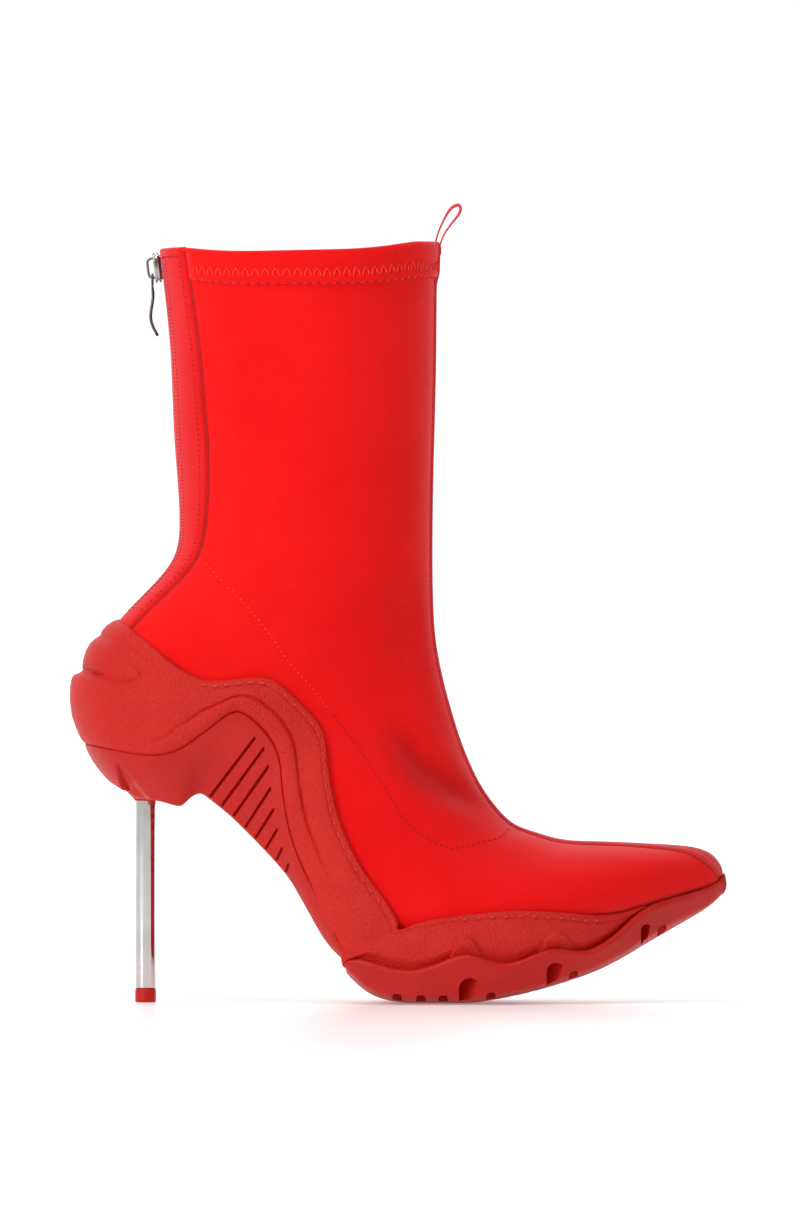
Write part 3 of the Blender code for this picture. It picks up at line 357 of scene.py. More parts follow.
KNIT = knit_finish("fine_red_knit", screen(232, 12, 12), screen(243, 20, 18), 0.9, 0.7, 0.35, with_painted_shade=True)
BINDING = knit_finish("ribbed_red_tape", screen(214, 40, 42), screen(230, 62, 64), 2.6, 0.95, 0.8)
LOOP = knit_finish("satin_red_tape", screen(222, 66, 76), screen(234, 84, 92), 1.2, 0.9, 0.4)
FACING = knit_finish("red_facing", screen(220, 20, 22), screen(231, 30, 31), 0.6, 0.6, 0.3)
LINING = knit_finish("red_lining", screen(150, 18, 18), screen(172, 26, 24), 1.2, 1.2, 0.4)


def thread_finish(name, low, high):
    """Sewing thread: a slightly glossy cord whose colour varies along it."""
    finish, shader = new_finish(name, Roughness=0.55, Specular_IOR_Level=0.3)
    wire(finish, mixed(finish, noise(finish, 700.0, 2.0), low, high), shader.inputs["Base Color"])
    bumped(finish, shader, noise(finish, 4000.0, 1.0), 0.4, 0.05)
    return finish


THREAD = thread_finish("orange_thread", screen(240, 52, 32), screen(250, 72, 44))
# deep red for the dark stitches, and the same colour for the cords that paint lines of shade by the binding and the
# facings
DARK_THREAD_AND_SHADE_LINE = thread_finish("deep_red_thread_and_shade_line", screen(162, 14, 16), screen(186, 26, 26))

# %% Rubber and metal finishes


def rubber_finish(name, low, high, grain, rough):
    """Moulded rubber: cloudy colour, uneven gloss, and a fine grain whose strength tells cup from block."""
    finish, shader = new_finish(name, Specular_IOR_Level=0.28)
    cloud = noise(finish, 45.0, 4.0)
    fine = noise(finish, 1150.0, 3.0)
    wire(finish, mixed(finish, cloud, low, high), shader.inputs["Base Color"])
    wire(finish, ranged(finish, cloud, rough - 0.06, rough + 0.1), shader.inputs["Roughness"])
    bumped(finish, shader, added(finish, fine, cloud, 0.5), grain, 0.9)
    return finish


CUP = rubber_finish("grained_rubber", screen(205, 24, 18), screen(219, 36, 28), 0.9, 0.5)
BLOCK = rubber_finish("smooth_rubber", screen(190, 20, 14), screen(202, 28, 21), 0.35, 0.42)
# paler red for the moulded dashes: a painted highlight on their raised tops
DASH_HIGHLIGHT_RUBBER = rubber_finish("pale_rubber_painted_highlight", screen(206, 50, 43), screen(218, 66, 58), 0.3, 0.4)


def metal_finish(name, low, high, rough, scratch):
    """Metal: clear or dark mirror, with hair scratches as uneven gloss and a trace of bump."""
    finish, shader = new_finish(name, Metallic=1.0)
    streak = noise(finish, 600.0, 6.0)
    wire(finish, mixed(finish, noise(finish, 80.0, 3.0), low, high), shader.inputs["Base Color"])
    wire(finish, ranged(finish, streak, rough * 0.7, rough * 1.4), shader.inputs["Roughness"])
    bumped(finish, shader, streak, scratch, 0.02)
    return finish


CHROME = metal_finish("polished_steel", screen(200, 198, 196), screen(212, 210, 208), 0.07, 0.05)
NICKEL = metal_finish("cast_nickel", screen(150, 146, 144), screen(186, 182, 180), 0.2, 0.2)
GUNMETAL = metal_finish("dark_nickel", screen(84, 78, 82), screen(112, 104, 108), 0.28, 0.1)
print("finishes:", len(bpy.data.materials))

# %% [markdown]
# ## The last
# The upper takes its shape from the last, the form that a boot is pulled over. Sections run from the collar,
# down the shaft, turn round the heel and go on to the toe. Each section is a superellipse, an oval whose
# roundness is a number: 2 is an ellipse and more is squarer. The sections fan out so that none crosses another.

# %% Tables of the last
SWING = np.array([(-112.0, 0.0), (-60.0, -0.2), (-10.0, -1.5), (30.0, -0.5), (80.0, 2.5), (118.0, 4.5)])
SOCK = np.array([
    # front_x front_z  back_x  back_z  half  widest_at front_round back_round
    (13.4, 273.6, -85.1, 271.1, 36.0, 0.50, 1.90, 2.1),
    (13.0, 256.3, -83.3, 256.3, 35.5, 0.50, 1.90, 2.1),
    (12.8, 234.7, -81.2, 234.7, 35.0, 0.50, 1.90, 2.1),
    (12.1, 202.3, -79.7, 202.3, 34.0, 0.50, 1.90, 2.1),
    (11.5, 172.0, -77.9, 172.0, 32.5, 0.50, 1.90, 2.1),
    (11.5, 152.0, -81.5, 157.0, 31.5, 0.50, 1.90, 2.2),
    (11.8, 141.0, -91.0, 146.0, 30.5, 0.48, 1.95, 2.4),
    (12.6, 130.5, -102.0, 134.0, 30.0, 0.47, 2.0, 2.7),
    (14.6, 119.0, -109.3, 121.5, 30.0, 0.46, 2.0, 3.0),
    (17.5, 107.5, -109.5, 107.0, 30.0, 0.45, 2.0, 3.0),
    (20.5, 97.5, -98.0, 100.8, 30.0, 0.44, 2.0, 3.0),
    (24.0, 88.0, -80.0, 98.6, 30.0, 0.43, 2.0, 3.0),
    (28.0, 79.5, -64.0, 92.8, 30.2, 0.42, 2.0, 3.0),
    (33.0, 71.8, -50.0, 77.5, 31.0, 0.41, 2.0, 3.0),
    (40.0, 64.4, -36.0, 55.5, 33.0, 0.40, 2.0, 3.2),
    (49.0, 60.5, -17.0, 31.5, 36.0, 0.38, 2.0, 3.6),
    (58.0, 58.0, 2.0, 22.4, 38.5, 0.36, 2.0, 3.8),
    (68.0, 57.2, 24.0, 20.8, 39.0, 0.35, 2.0, 3.6),
    (80.0, 56.8, 48.0, 22.6, 36.5, 0.35, 2.0, 3.2),
    (92.0, 56.2, 72.0, 27.6, 29.0, 0.35, 2.0, 2.8),
    (103.0, 55.4, 93.0, 33.9, 19.0, 0.36, 2.0, 2.5),
    (109.0, 54.2, 105.0, 37.8, 12.0, 0.38, 2.0, 2.2),
    (113.0, 52.0, 111.5, 40.0, 7.5, 0.42, 2.0, 2.1),
    (115.3, 49.0, 114.4, 42.2, 4.0, 0.45, 2.0, 2.0),
    (116.1, 45.5, 116.1, 45.5, 0.0, 0.50, 2.0, 2.0),
])
KNOTS = (gone(SOCK[:, 0:2]) + gone(SOCK[:, 2:4])) / 2
WALL = 2.0
print(f"length of the last, collar to toe: {KNOTS[-1]:.1f} mm")

# %% Points on the last


def at_row(row):
    """Distance along the last at a section, which may lie between two rows of the table."""
    return np.interp(row, np.arange(len(KNOTS)), KNOTS)


def swing(x):
    """Sideways shift of the centre line: the ball swings out and the toe swings in."""
    x = np.asarray(x, float)
    inside = np.clip(x, SWING[0, 0], SWING[-1, 0]).ravel()
    return spline(SWING[:, 0], SWING[:, 1:], inside)[:, 0].reshape(x.shape)


def sock_point(along, angle):
    """Superellipse of the section: the sine raised to 2 / roundness runs along it, the cosine across it."""
    fx, fz, bx, bz, half, wide, front, back = spline(KNOTS, SOCK, along.ravel()).T.reshape(8, *along.shape)
    s = np.sin(angle)
    c = np.cos(angle)
    power = 2 / np.where(s > 0, front, back)
    a = wide + np.where(s > 0, 1 - wide, wide) * boxy(s, power)
    x = bx + a * (fx - bx)
    y = np.maximum(half, 0) * boxy(c, power) + swing(x)
    return np.stack([x, y, bz + a * (fz - bz)], axis=-1)


def sock_normal(along, angle):
    """Outward direction: the cross product of a small step round the section and a small step along the last."""
    small = 1e-3
    run = (sock_point(np.minimum(along + small, KNOTS[-1] - small), angle)
           - sock_point(np.maximum(along - small, 0), angle))
    normal = np.cross(sock_point(along, angle + small) - sock_point(along, angle - small), run)
    size = np.linalg.norm(normal, axis=-1, keepdims=True)
    return np.where(size > 1e-9, normal / np.maximum(size, 1e-12), np.array([1.0, 0.0, 0.0]))


def sock_surface(along, angle, offset):
    """Point of the last plus its outward direction times an offset."""
    move = np.broadcast_to(offset, along.shape)[..., None]
    return sock_point(along, angle) + sock_normal(along, angle) * move


def sock_place(x, z):
    """Way along the last and part of the section where the side view shows (x, z).

    The section is found by halving: a place lies before or behind the line from its back to its front.
    """
    low = np.zeros_like(x)
    high = np.full_like(x, KNOTS[-1])
    for _ in range(40):
        middle = (low + high) / 2
        row = spline(KNOTS, SOCK, middle)
        side = (row[:, 0] - row[:, 2]) * (z - row[:, 3]) - (row[:, 1] - row[:, 3]) * (x - row[:, 2])
        low = np.where(side < 0, middle, low)
        high = np.where(side < 0, high, middle)
    dx = row[:, 0] - row[:, 2]
    dz = row[:, 1] - row[:, 3]
    return middle, ((x - row[:, 2]) * dx + (z - row[:, 3]) * dz) / (dx ** 2 + dz ** 2 + 1e-9), row


def sock_reach(row, part):
    """How far a part of the section is from its widest place to its end, 0 to 1, and the roundness on that side."""
    wide = row[:, 5]
    ahead = part > wide
    reach = np.where(ahead, (part - wide) / (1 - wide), (wide - part) / wide)
    return np.clip(reach, 0, 1), np.where(ahead, row[:, 6], row[:, 7])


def sock_half(x, z):
    """Half-width of the last at (x, z): its half-width times the superellipse, zero outside its outline."""
    _, part, row = sock_place(x.ravel(), z.ravel())
    reach, power = sock_reach(row, part)
    half = row[:, 4] * np.clip(1 - reach ** power, 0, 1) ** (1 / power)
    return np.where((part < 0) | (part > 1), 0.0, half).reshape(x.shape)


def sock_angle(x, z, outer):
    """Way along the last and angle round it of a side-view place, on the outer (-Y) or the inner side."""
    along, part, row = sock_place(x, z)
    reach, power = sock_reach(row, part)
    angle = np.arcsin(np.sign(part - row[:, 5]) * reach ** (power / 2))
    return along, math.pi - angle if outer else angle


def angle_from_back(along, distance):
    """Angle past the back line at which a section has run this distance toward the front."""
    row = spline(KNOTS, SOCK, along)
    length = np.hypot(row[:, 0] - row[:, 2], row[:, 1] - row[:, 3])
    reach = np.clip(1 - distance / np.maximum(length * row[:, 5], 1e-6), 0, 1)
    return np.arccos(reach ** (row[:, 7] / 2))


def angle_of_half(along, half, back):
    """Angle past the back line, or short of the front line, where a section is this far from the middle."""
    row = spline(KNOTS, SOCK, along)
    part = np.clip(half / np.maximum(row[:, 4], 1e-6), 0, 1)
    return np.arcsin(part ** (row[:, 7 if back else 6] / 2))


print("half-width at the ball:", sock_half(np.array([20.0]), np.array([35.0])))

# %% [markdown]
# ## The knitted upper
# The real upper is one stretch knit, folded over at the collar as a hem and pulled in soft folds over the
# instep. A cloth simulation would hang it as if it were empty, but this knit keeps the form of the last, so the
# folds are laid in as troughs with a low ridge on each side, where the photo shows them.

# %% Hem, folds and the grid of the upper
HEM_DEPTH = 12.2
HEM_STEP = 1.0
RIM = 1.4
COLLAR_DIP = 2.4
GIRTH = 220.0
SLIT_HALF = 2.3
SEAM_HALF = 0.8
CUT_ROWS = np.array([9.0, 17.0, 20.0, 22.0])
CUT_HEIGHT = np.array([3.0, 3.0, 1.0, 0.3])
ZIP_END = at_row(7.3)
FACING_ROWS = np.array([0.0, 1.0, 2.0, 3.0, 3.5, 4.0, 5.0, 6.0, 7.0, 8.0])
FACING_EDGE = np.array([8.6, 8.9, 9.7, 11.2, 10.2, 8.6, 7.0, 6.2, 5.6, 5.4])
FOLDS = [
    # side-view line, depth, width on its left, width on its right, fade at its ends, loss of colour as painted shade
    ([(-9.0, 102.0), (2.1, 93.7), (9.7, 85.4), (18.0, 78.5), (26.2, 73.0), (37.0, 66.0)], 2.1, 4.0, 4.8, 20.0, 0.3),
    ([(-8.0, 91.0), (0.5, 84.5), (6.9, 79.2), (12.4, 75.1), (21.0, 69.4)], 0.5, 3.2, 3.4, 13.0, 0.1),
    ([(-3.0, 163.0), (1.0, 146.0), (4.0, 130.0), (7.0, 108.0)], 0.8, 9.0, 12.0, 22.0, 0.06),
    ([(-30.0, 132.0), (-16.0, 118.0), (-6.0, 108.0)], 0.5, 4.0, 6.0, 12.0, 0.03),
]


def fold_place(line, left, right, fade, x, z):
    """Distance from a fold, its strength along its length, and a bell curve across it with a width for each side."""
    path = even_path(line, 30)
    far, way = from_line(path, x, z)
    ends = ease(way / fade) * ease((gone(path)[-1] - way) / fade)
    return far, ends, np.exp(-(far / np.where(far > 0, left, right)) ** 2)


def fold_relief(x, z, angle):
    """Sum over the folds: a bell-shaped trough, and a low ridge on each side of it.

    All folds run out before the front line, where the binding holds the knit.
    """
    relief = np.zeros_like(x)
    for line, depth, left, right, fade, _ in FOLDS:
        far, ends, trough = fold_place(line, left, right, fade, x, z)
        ridge = np.exp(-((far - 2.2 * left) / left) ** 2) + np.exp(-((far + 2.2 * right) / right) ** 2)
        relief += depth * ends * (0.2 * ridge - trough)
    return relief * ease((np.abs(angle - math.pi / 2) - 0.1) / 0.5)


def fold_at(along, angle):
    """Relief of the folds at places of the last."""
    flat = sock_point(along, angle)
    return fold_relief(flat[..., 0], flat[..., 2], angle)


def fold_painted_shade(x, z):
    """Share of the colour that stays: less in the folds, where painted shade darkens the knit."""
    painted_shade_share = np.ones_like(x)
    for line, _, left, right, fade, painted_darkening in FOLDS:
        _, ends, trough = fold_place(line, 1.2 * left, 1.2 * right, fade, x, z)
        painted_shade_share -= painted_darkening * ends * trough
    return painted_shade_share


def hem_relief(depth):
    """Profile of the folded hem: round at the rim, two soft pads, a dip at the stitches, a round lower edge."""
    edge = 1 - rounded(HEM_DEPTH - depth, 1.0)
    pad = 0.35 * np.sin(math.pi * np.clip((depth - 0.6) / 5.6, 0, 1))
    low_pad = 0.3 * np.sin(math.pi * np.clip((depth - 9.0) / 3.0, 0, 1))
    return (HEM_STEP + pad + low_pad) * edge - rounded(depth, RIM)


def upper_rows():
    """Places down the last: close together at the rim and at the hem's edge, even after that."""
    rim = np.array([0.0, 0.08, 0.25, 0.5, 0.8, 1.1, 1.4, 2.0])
    hem = np.linspace(2.8, HEM_DEPTH - 1.1, 10)
    edge = HEM_DEPTH + np.array([-0.85, -0.6, -0.4, -0.2, -0.08, 0.0, 0.4, 1.2])
    rest = np.linspace(HEM_DEPTH + 2.6, at_row(23.0), 176)
    toe = at_row(np.linspace(23.1, 24.0, 8))
    return np.concatenate([rim, hem, edge, rest, toe])


def dipped(depth, angle):
    """The rim dips at the sides by a smooth step of the cosine, and the dip runs out down the shaft."""
    return depth + COLLAR_DIP * ease((np.abs(np.cos(angle)) - 0.45) / 0.55) * (1 - ease((depth - 12.0) / 70.0))


print("rows of the upper:", len(upper_rows()))

# %% The upper itself


def upper_angles(down, side_columns):
    """Angles from the slit round the front and back to the slit; under the foot the cut edge takes its place."""
    slit = angle_of_half(down, np.where(down < ZIP_END, SLIT_HALF, SEAM_HALF), True)
    cut = angle_from_back(down, np.interp(down, at_row(CUT_ROWS), CUT_HEIGHT))
    first = slit + (cut - slit) * ease((down - at_row(9.3)) / (at_row(10.0) - at_row(9.0)))
    half = first[:, None] + (math.pi - first)[:, None] * np.linspace(0, 1, side_columns)
    return np.concatenate([half, 2 * math.pi - half[:, -2::-1]], axis=1) - math.pi / 2


def facing_edge(down, beyond=0.0):
    """Turn from the back line to a distance beyond the front edge of the zip's facing."""
    return angle_from_back(down, np.interp(down, at_row(FACING_ROWS), FACING_EDGE) + beyond)


def make_upper():
    """Wall of the upper: the last plus hem and folds outside, the same less the wall inside."""
    down = upper_rows()
    angle = upper_angles(down, 84)
    depth = np.repeat(down[:, None], angle.shape[1], axis=1)
    along = np.minimum(dipped(depth, angle), KNOTS[-1])
    edge = facing_edge(down)[:, None]
    beside = math.pi - np.abs(angle - math.pi / 2)
    beyond = ease((beside - edge) / 0.05)
    flat = sock_point(along, angle)
    relief = fold_relief(flat[..., 0], flat[..., 2], angle)
    outer = sock_surface(along, angle, hem_relief(depth) * np.where(depth < RIM, 1, beyond) + relief)
    inner = sock_surface(along, angle, relief - WALL + rounded(depth, 1.0))
    nose = int(np.searchsorted(down, at_row(22.0)))
    middle = inner[nose].mean(axis=0)
    inner[nose:] = middle + (inner[nose] - middle) * np.linspace(1, 0, len(down) - nose)[:, None, None]
    columns = angle.shape[1]
    shut = np.flatnonzero((down[:-1] > ZIP_END) & (down[1:] < at_row(9.4))) * columns
    seam = np.stack([shut + columns - 1, shut, shut + columns, shut + 2 * columns - 1], axis=1)
    faces = np.concatenate([sheet_faces(*angle.shape), seam])
    weave = np.stack([(angle + math.pi / 2) / (2 * math.pi) * GIRTH, depth], axis=-1)
    # painted shade: the knit's colour is darkened along the folds
    painted_shade_share = fold_painted_shade(flat[..., 0], flat[..., 2])
    add_wall("knit_upper", outer, inner, weave, KNIT, ("upper",), 70.0, faces, painted_shade_share)


make_upper()

# %% [markdown]
# ## Thread
# Stitches are what make a seam read as sewn. Each one is a short rod with domed ends, lying on the cloth and
# arched a little. All rods of a seam share one small grid that is placed by array arithmetic, so hundreds of
# stitches cost one mesh.

# %% Rods of thread
THREAD_ARCH = 0.35


def thread_points(start, end, up, radius):
    """Rods from start to end: the radius follows the root of 1 - t^4, and the middle is lifted by an arch."""
    t = np.linspace(-1, 1, 6)
    fat = radius * np.sqrt(np.clip(1 - t ** 4, 0, 1))
    turn = full_turn(6)
    run = end - start
    ahead = unit(run)
    across = unit(np.cross(up, ahead))
    lift = np.cross(ahead, across)
    spine = ((start + end) / 2)[:, None] + t[None, :, None] * run[:, None] / 2
    spine = spine + (THREAD_ARCH * radius * (1 - t ** 2))[None, :, None] * lift[:, None]
    wide = (fat[:, None] * np.cos(turn))[None, :, :, None] * across[:, None, None]
    high = (fat[:, None] * np.sin(turn))[None, :, :, None] * lift[:, None, None]
    return spine[:, :, None] + wide + high


def add_thread(name, start, end, up, radius, finish):
    """One mesh for all rods of a seam."""
    points = thread_points(start, end, up, radius)
    count, rings, sides = points.shape[:3]
    step = (np.arange(count) * rings * sides)[:, None, None]
    faces = (ring_faces(rings, sides)[None] + step).reshape(-1, 4)
    return add_piece(name, points, faces, finish, sharp=80.0)


def sewn(name, spots, up, fill, radius, finish):
    """Running stitch through a row of spots: each rod fills part of the way to the next spot."""
    run = spots[1:] - spots[:-1]
    return add_thread(name, spots[:-1], spots[:-1] + fill * run, up[:-1], radius, finish)


def on_upper(line, pitch, lift, outer):
    """Spots at a pitch along a side-view line on the upper, and the outward directions there."""
    path = even_path(line, max(int(round(gone(even_path(line, 200))[-1] / pitch)), 2))
    along, angle = sock_angle(path[:, 0], path[:, 1], outer)
    offset = fold_relief(path[:, 0], path[:, 1], angle) + lift
    return sock_surface(along, angle, offset), sock_normal(along, angle)


def add_shade_cord(name, along, angle, offset, radius):
    """Thin dark cord on the upper that paints a line of shade: a circle carried along the path, square to the surface
    and to the run.
    """
    spine = sock_surface(along, angle, offset)
    lift = sock_normal(along, angle)
    across = unit(np.cross(lift, np.gradient(spine, axis=0)))
    turn = full_turn(8)
    rings = spine[:, None] + radius * (np.cos(turn)[None, :, None] * lift[:, None]
                                       + np.sin(turn)[None, :, None] * across[:, None])
    add_rings(name, rings, DARK_THREAD_AND_SHADE_LINE)


# %% The hem's zigzag and the side seam
def make_hem_thread():
    """Arches round the hem: up, along and down again in each period, and a dark stitch at the hem's edge below."""
    edge = angle_from_back(np.array([7.0]), np.array([10.6]))[0]
    turn = np.linspace(edge, 2 * math.pi - edge, 66) - math.pi / 2
    part = np.array([0.0, 0.22, 0.55, 0.77])
    swirl = turn[:-1, None] + np.diff(turn)[:, None] * part
    depth = np.broadcast_to(np.array([9.7, 6.9, 6.9, 9.7]), swirl.shape)
    along = dipped(depth, swirl)
    spots = sock_surface(along, swirl, hem_relief(depth) + 0.02)
    up = sock_normal(along, swirl)
    start, end, up = (grid.reshape(-1, 3) for grid in (spots[:, :-1], spots[:, 1:], up[:, :-1]))
    add_thread("hem_arches", start, end, up, 0.24, THREAD)
    low = np.full(len(turn), HEM_DEPTH - 0.25)
    row = dipped(low, turn)
    lower = sock_surface(row, turn, hem_relief(low) - 0.1)
    sewn("hem_edge_stitch", lower, sock_normal(row, turn), 0.6, 0.42, DARK_THREAD_AND_SHADE_LINE)


make_hem_thread()

SIDES = (("outer", True), ("inner", False))
SIDE_SEAM = [
    (-69.0, 158.0), (-62.5, 150.8), (-56.0, 144.5), (-50.2, 137.7), (-43.9, 129.2), (-38.3, 121.3), (-33.7, 116.3),
    (-27.4, 108.7), (-21.8, 101.3), (-17.8, 96.3), (-12.9, 89.4), (-9.2, 84.0), (-5.2, 77.8), (0.2, 68.8),
    (7.0, 61.6), (12.9, 58.0), (19.8, 55.9), (26.8, 57.2), (32.9, 58.7), (36.4, 59.6), (38.6, 61.8), (40.2, 63.4),
]
for side, outer in SIDES:
    spots, up = on_upper(SIDE_SEAM, 1.95, 0.06, outer)
    split = len(spots) * 4 // 9
    sewn(f"side_seam_rear_{side}", spots[:split], up[:split], 0.42, 0.26, THREAD)
    sewn(f"side_seam_front_{side}", spots[split:], up[split:], 0.5, 0.24, DARK_THREAD_AND_SHADE_LINE)

# %% [markdown]
# ## Binding and loop
# A ribbed tape covers the front seam from the collar to the toe, and a narrow loop of the same tape stands up
# at the collar. The binding is the last's surface lifted by a rounded profile; the loop is a flat oval profile
# carried along a path.

# %% The front binding
BINDING_ROWS = np.array([0.0, 9.0, 13.0, 17.0, 20.0, 24.0])
BINDING_HALF = np.array([3.0, 3.2, 4.6, 7.6, 8.6, 8.8])
BINDING_THICK = 0.75
LIMIT_ROWS = np.array([19.0, 20.0, 21.0, 22.0, 23.0, 24.0])
LIMIT_ANGLE = np.array([0.6, 0.47, 0.76, 1.1, 1.6, 2.2])


def binding_angle(down, more=0.0):
    """Half of the angle that the binding covers at each place along the last."""
    half = np.interp(down, at_row(BINDING_ROWS), BINDING_HALF) + more
    limit = np.interp(down, at_row(LIMIT_ROWS), LIMIT_ANGLE)
    return np.minimum(angle_of_half(down, half, False), limit + 0.03 * (more > 0))


def make_binding():
    """Strip over the front line: thickness times the fourth root of 1 - v^8 across it, plus low cords."""
    down = upper_rows()
    half = binding_angle(down)
    v = np.linspace(-1, 1, 25)
    angle = math.pi / 2 + half[:, None] * v
    depth = np.repeat(down[:, None], len(v), axis=1)
    along = dipped(depth, angle)
    below = HEM_STEP * (1 - ease((depth - HEM_DEPTH + 3.0) / 6.0))
    base = np.where(depth < 4.0, hem_relief(depth), below) + fold_at(along, angle)
    lift = BINDING_THICK * (1 - v ** 8) ** 0.25 + 0.07 * np.cos(5 * math.pi * v)
    outer = sock_surface(along, angle, base + np.where(np.abs(v) < 1, lift, 0.0))
    inner = sock_surface(along, angle, base - 0.4)
    weave = strip_weave(v * 8.0, depth)
    add_wall("front_binding", outer, inner, weave, BINDING, ("seam_tape",), 75.0)


def paint_binding_shade(name, side):
    """Painted shade along the edge of the binding: a dark cord where its lifted surface meets the knit."""
    down = np.linspace(at_row(12.0), at_row(23.7), 260)
    angle = math.pi / 2 + side * binding_angle(down, 0.2)
    add_shade_cord(name, dipped(down, angle), angle, fold_at(down, angle) + 0.05, 0.2)


make_binding()
paint_binding_shade("binding_shade_line_outer", 1)
paint_binding_shade("binding_shade_line_inner", -1)

# %% The collar loop
LOOP_PATH = [(15.0, 272.6), (16.2, 275.8), (18.4, 279.2), (20.9, 282.4), (22.3, 285.0), (21.9, 286.7), (20.2, 286.5),
             (17.9, 284.3), (15.8, 280.4), (14.2, 276.6), (13.2, 272.6)]


def ribbon(path, width, thick, count=20, level=0.35):
    """Rings of a flat oval along a side-view path: cosine and sine raised to small powers make it boxy."""
    run = unit(np.gradient(path, axis=0))
    turn = full_turn(count)
    across = boxy(np.cos(turn), level) / 2
    through = boxy(np.sin(turn), 0.6) / 2
    x = path[:, :1] - run[:, 1:] * through * thick
    z = path[:, 1:] + run[:, :1] * through * thick
    y = np.broadcast_to(np.asarray(width).reshape(-1, 1), (len(path), 1)) * across
    return np.stack([x, y, z], axis=-1)


loop_thick = 0.65 + 0.5 * np.sin(np.linspace(0, math.pi, 60))[:, None] ** 4
loop_rings = ribbon(even_path(LOOP_PATH, 60), 6.0, loop_thick)
add_rings("collar_loop", loop_rings, LOOP, ("pull_loop",), across=np.arange(20.0), sharp=75.0)

# %% [markdown]
# ## The zip at the back
# Two smooth facings border the zip. Between them lies the closed coil: a tape with two rows of small teeth.
# The slider is cast, with a bridge that holds the pull tab. The tab is on its own body and swings on the bridge.

# %% Facings and their stitch rows
FACING_THICK = 1.15
FIRST_STITCH = 3.4
STITCH_ROWS = [
    # name percent_of_the_width pitch radius
    ("front", 88, 1.9, 0.22), ("middle", 40, 1.3, 0.24), ("back", 27, 1.3, 0.24),
]


def round_back(turn, outer):
    """Angle round the last of a turn from its back line, toward the outer or the inner side."""
    return (2 * math.pi - turn if outer else turn) - math.pi / 2


def facing_grid(down, columns):
    """Angles from the slit to the facing's edge, as parts of the way, and the depth for each."""
    first = angle_of_half(down, np.full_like(down, SLIT_HALF), True)
    edge = facing_edge(down)
    v = np.linspace(0, 1, columns)
    return first[:, None] + (edge - first)[:, None] * v, np.repeat(down[:, None], columns, axis=1), v


def facing_lift(v, depth):
    """Thickness of the strip: 1 less the 14th power of the way across, to the power 0.3, and a round top."""
    across = np.clip(1 - np.abs(2 * v - 1) ** 14, 0, 1) ** 0.3
    return FACING_THICK * across * (1 - rounded(depth, 1.2) / 1.2)


def make_facing(side, outer):
    """Strip beside the slit, lifted off the last by its rounded profile."""
    down = upper_rows()
    turn, depth, v = facing_grid(down[down < ZIP_END], 17)
    angle = round_back(turn, outer)
    high = sock_surface(depth, angle, facing_lift(v, depth))
    low = sock_surface(depth, angle, -0.3)
    weave = strip_weave(v * 9.0, depth)
    add_wall(f"zip_border_{side}", high, low, weave, FACING, (f"zip_facing_{side}",), 70.0)


def sew_facing(side, outer):
    """Rows of stitches down a facing at parts of its width, and one row across its top."""
    rows = []
    for name, percent, pitch, radius in STITCH_ROWS:
        way = np.arange(FIRST_STITCH, at_row(6.6), pitch)
        rows.append((name, way, facing_grid(way, 101)[0][:, percent], 0.5, radius))
    turn = facing_grid(np.array([FIRST_STITCH]), 101)[0][0, 25:88:5]
    rows.append(("top", np.full_like(turn, FIRST_STITCH), turn, 0.55, 0.24))
    for name, way, turn, fill, radius in rows:
        around = round_back(turn, outer)
        spots = sock_surface(way, around, np.full_like(way, FACING_THICK))
        sewn(f"border_stitch_{name}_{side}", spots, sock_normal(way, around), fill, radius, DARK_THREAD_AND_SHADE_LINE)


def paint_facing_shade(side, outer):
    """Painted shade at the front edge of a facing: a dark cord in the corner between facing and knit."""
    down = np.linspace(1.0, at_row(7.2), 240)
    around = round_back(facing_edge(down, 0.3), outer)
    add_shade_cord(f"border_shade_line_{side}", down, around, np.full_like(down, 0.12), 0.34)


for side, outer in SIDES:
    make_facing(side, outer)
    sew_facing(side, outer)
    paint_facing_shade(side, outer)

# %% The coil chain


def make_chain():
    """Tape at the bottom of the slit, and teeth: short arched rods across it at an even pitch, in two rows."""
    down = upper_rows()
    down = down[(down > 1.0) & (down < ZIP_END)]
    half = angle_of_half(down, np.full_like(down, SLIT_HALF - 0.1), True)
    v = np.linspace(-1, 1, 9)
    angle = half[:, None] * v - math.pi / 2
    depth = np.repeat(down[:, None], len(v), axis=1)
    high = sock_surface(depth, angle, -0.75)
    low = sock_surface(depth, angle, -1.7)
    add_wall("zip_tape", high, low, strip_weave(v * 2.0, depth), LINING, ("zip_chain",))
    way = np.arange(1.6, at_row(7.0), 1.15)
    reach = angle_of_half(way, np.full_like(way, 1.75), True)
    turn = np.stack([-reach, 0.12 * reach], axis=1)
    turn = np.concatenate([turn, -turn]) - math.pi / 2
    rows = np.concatenate([way, way + 0.57])
    start = sock_surface(rows, turn[:, 0], np.full_like(rows, -0.55))
    end = sock_surface(rows, turn[:, 1], np.full_like(rows, -0.35))
    add_thread("zip_coil", start, end, sock_normal(rows, turn[:, 0]), 0.42, DARK_THREAD_AND_SHADE_LINE)


make_chain()

# %% Slider and pull tab
FIT_GAP = 0.3
SLIDER_LENGTH = 11.0
SLIDER_WIDTH = 8.0
SLIDER_LIFT = 1.5
BRIDGE_LENGTH = 7.0
BRIDGE_THICK = 1.0
PLATE = 2.2
SLIDER_TOP = np.array([np.interp(270.0, [256.3, 271.1], [-83.3, -85.1]), 270.0])
SLIDER_DOWN = unit(SOCK[1, 2:4] - SOCK[0, 2:4])
SLIDER_OUT = np.array([SLIDER_DOWN[1], -SLIDER_DOWN[0]])
SLIDER_TOP = SLIDER_TOP + SLIDER_OUT * SLIDER_LIFT


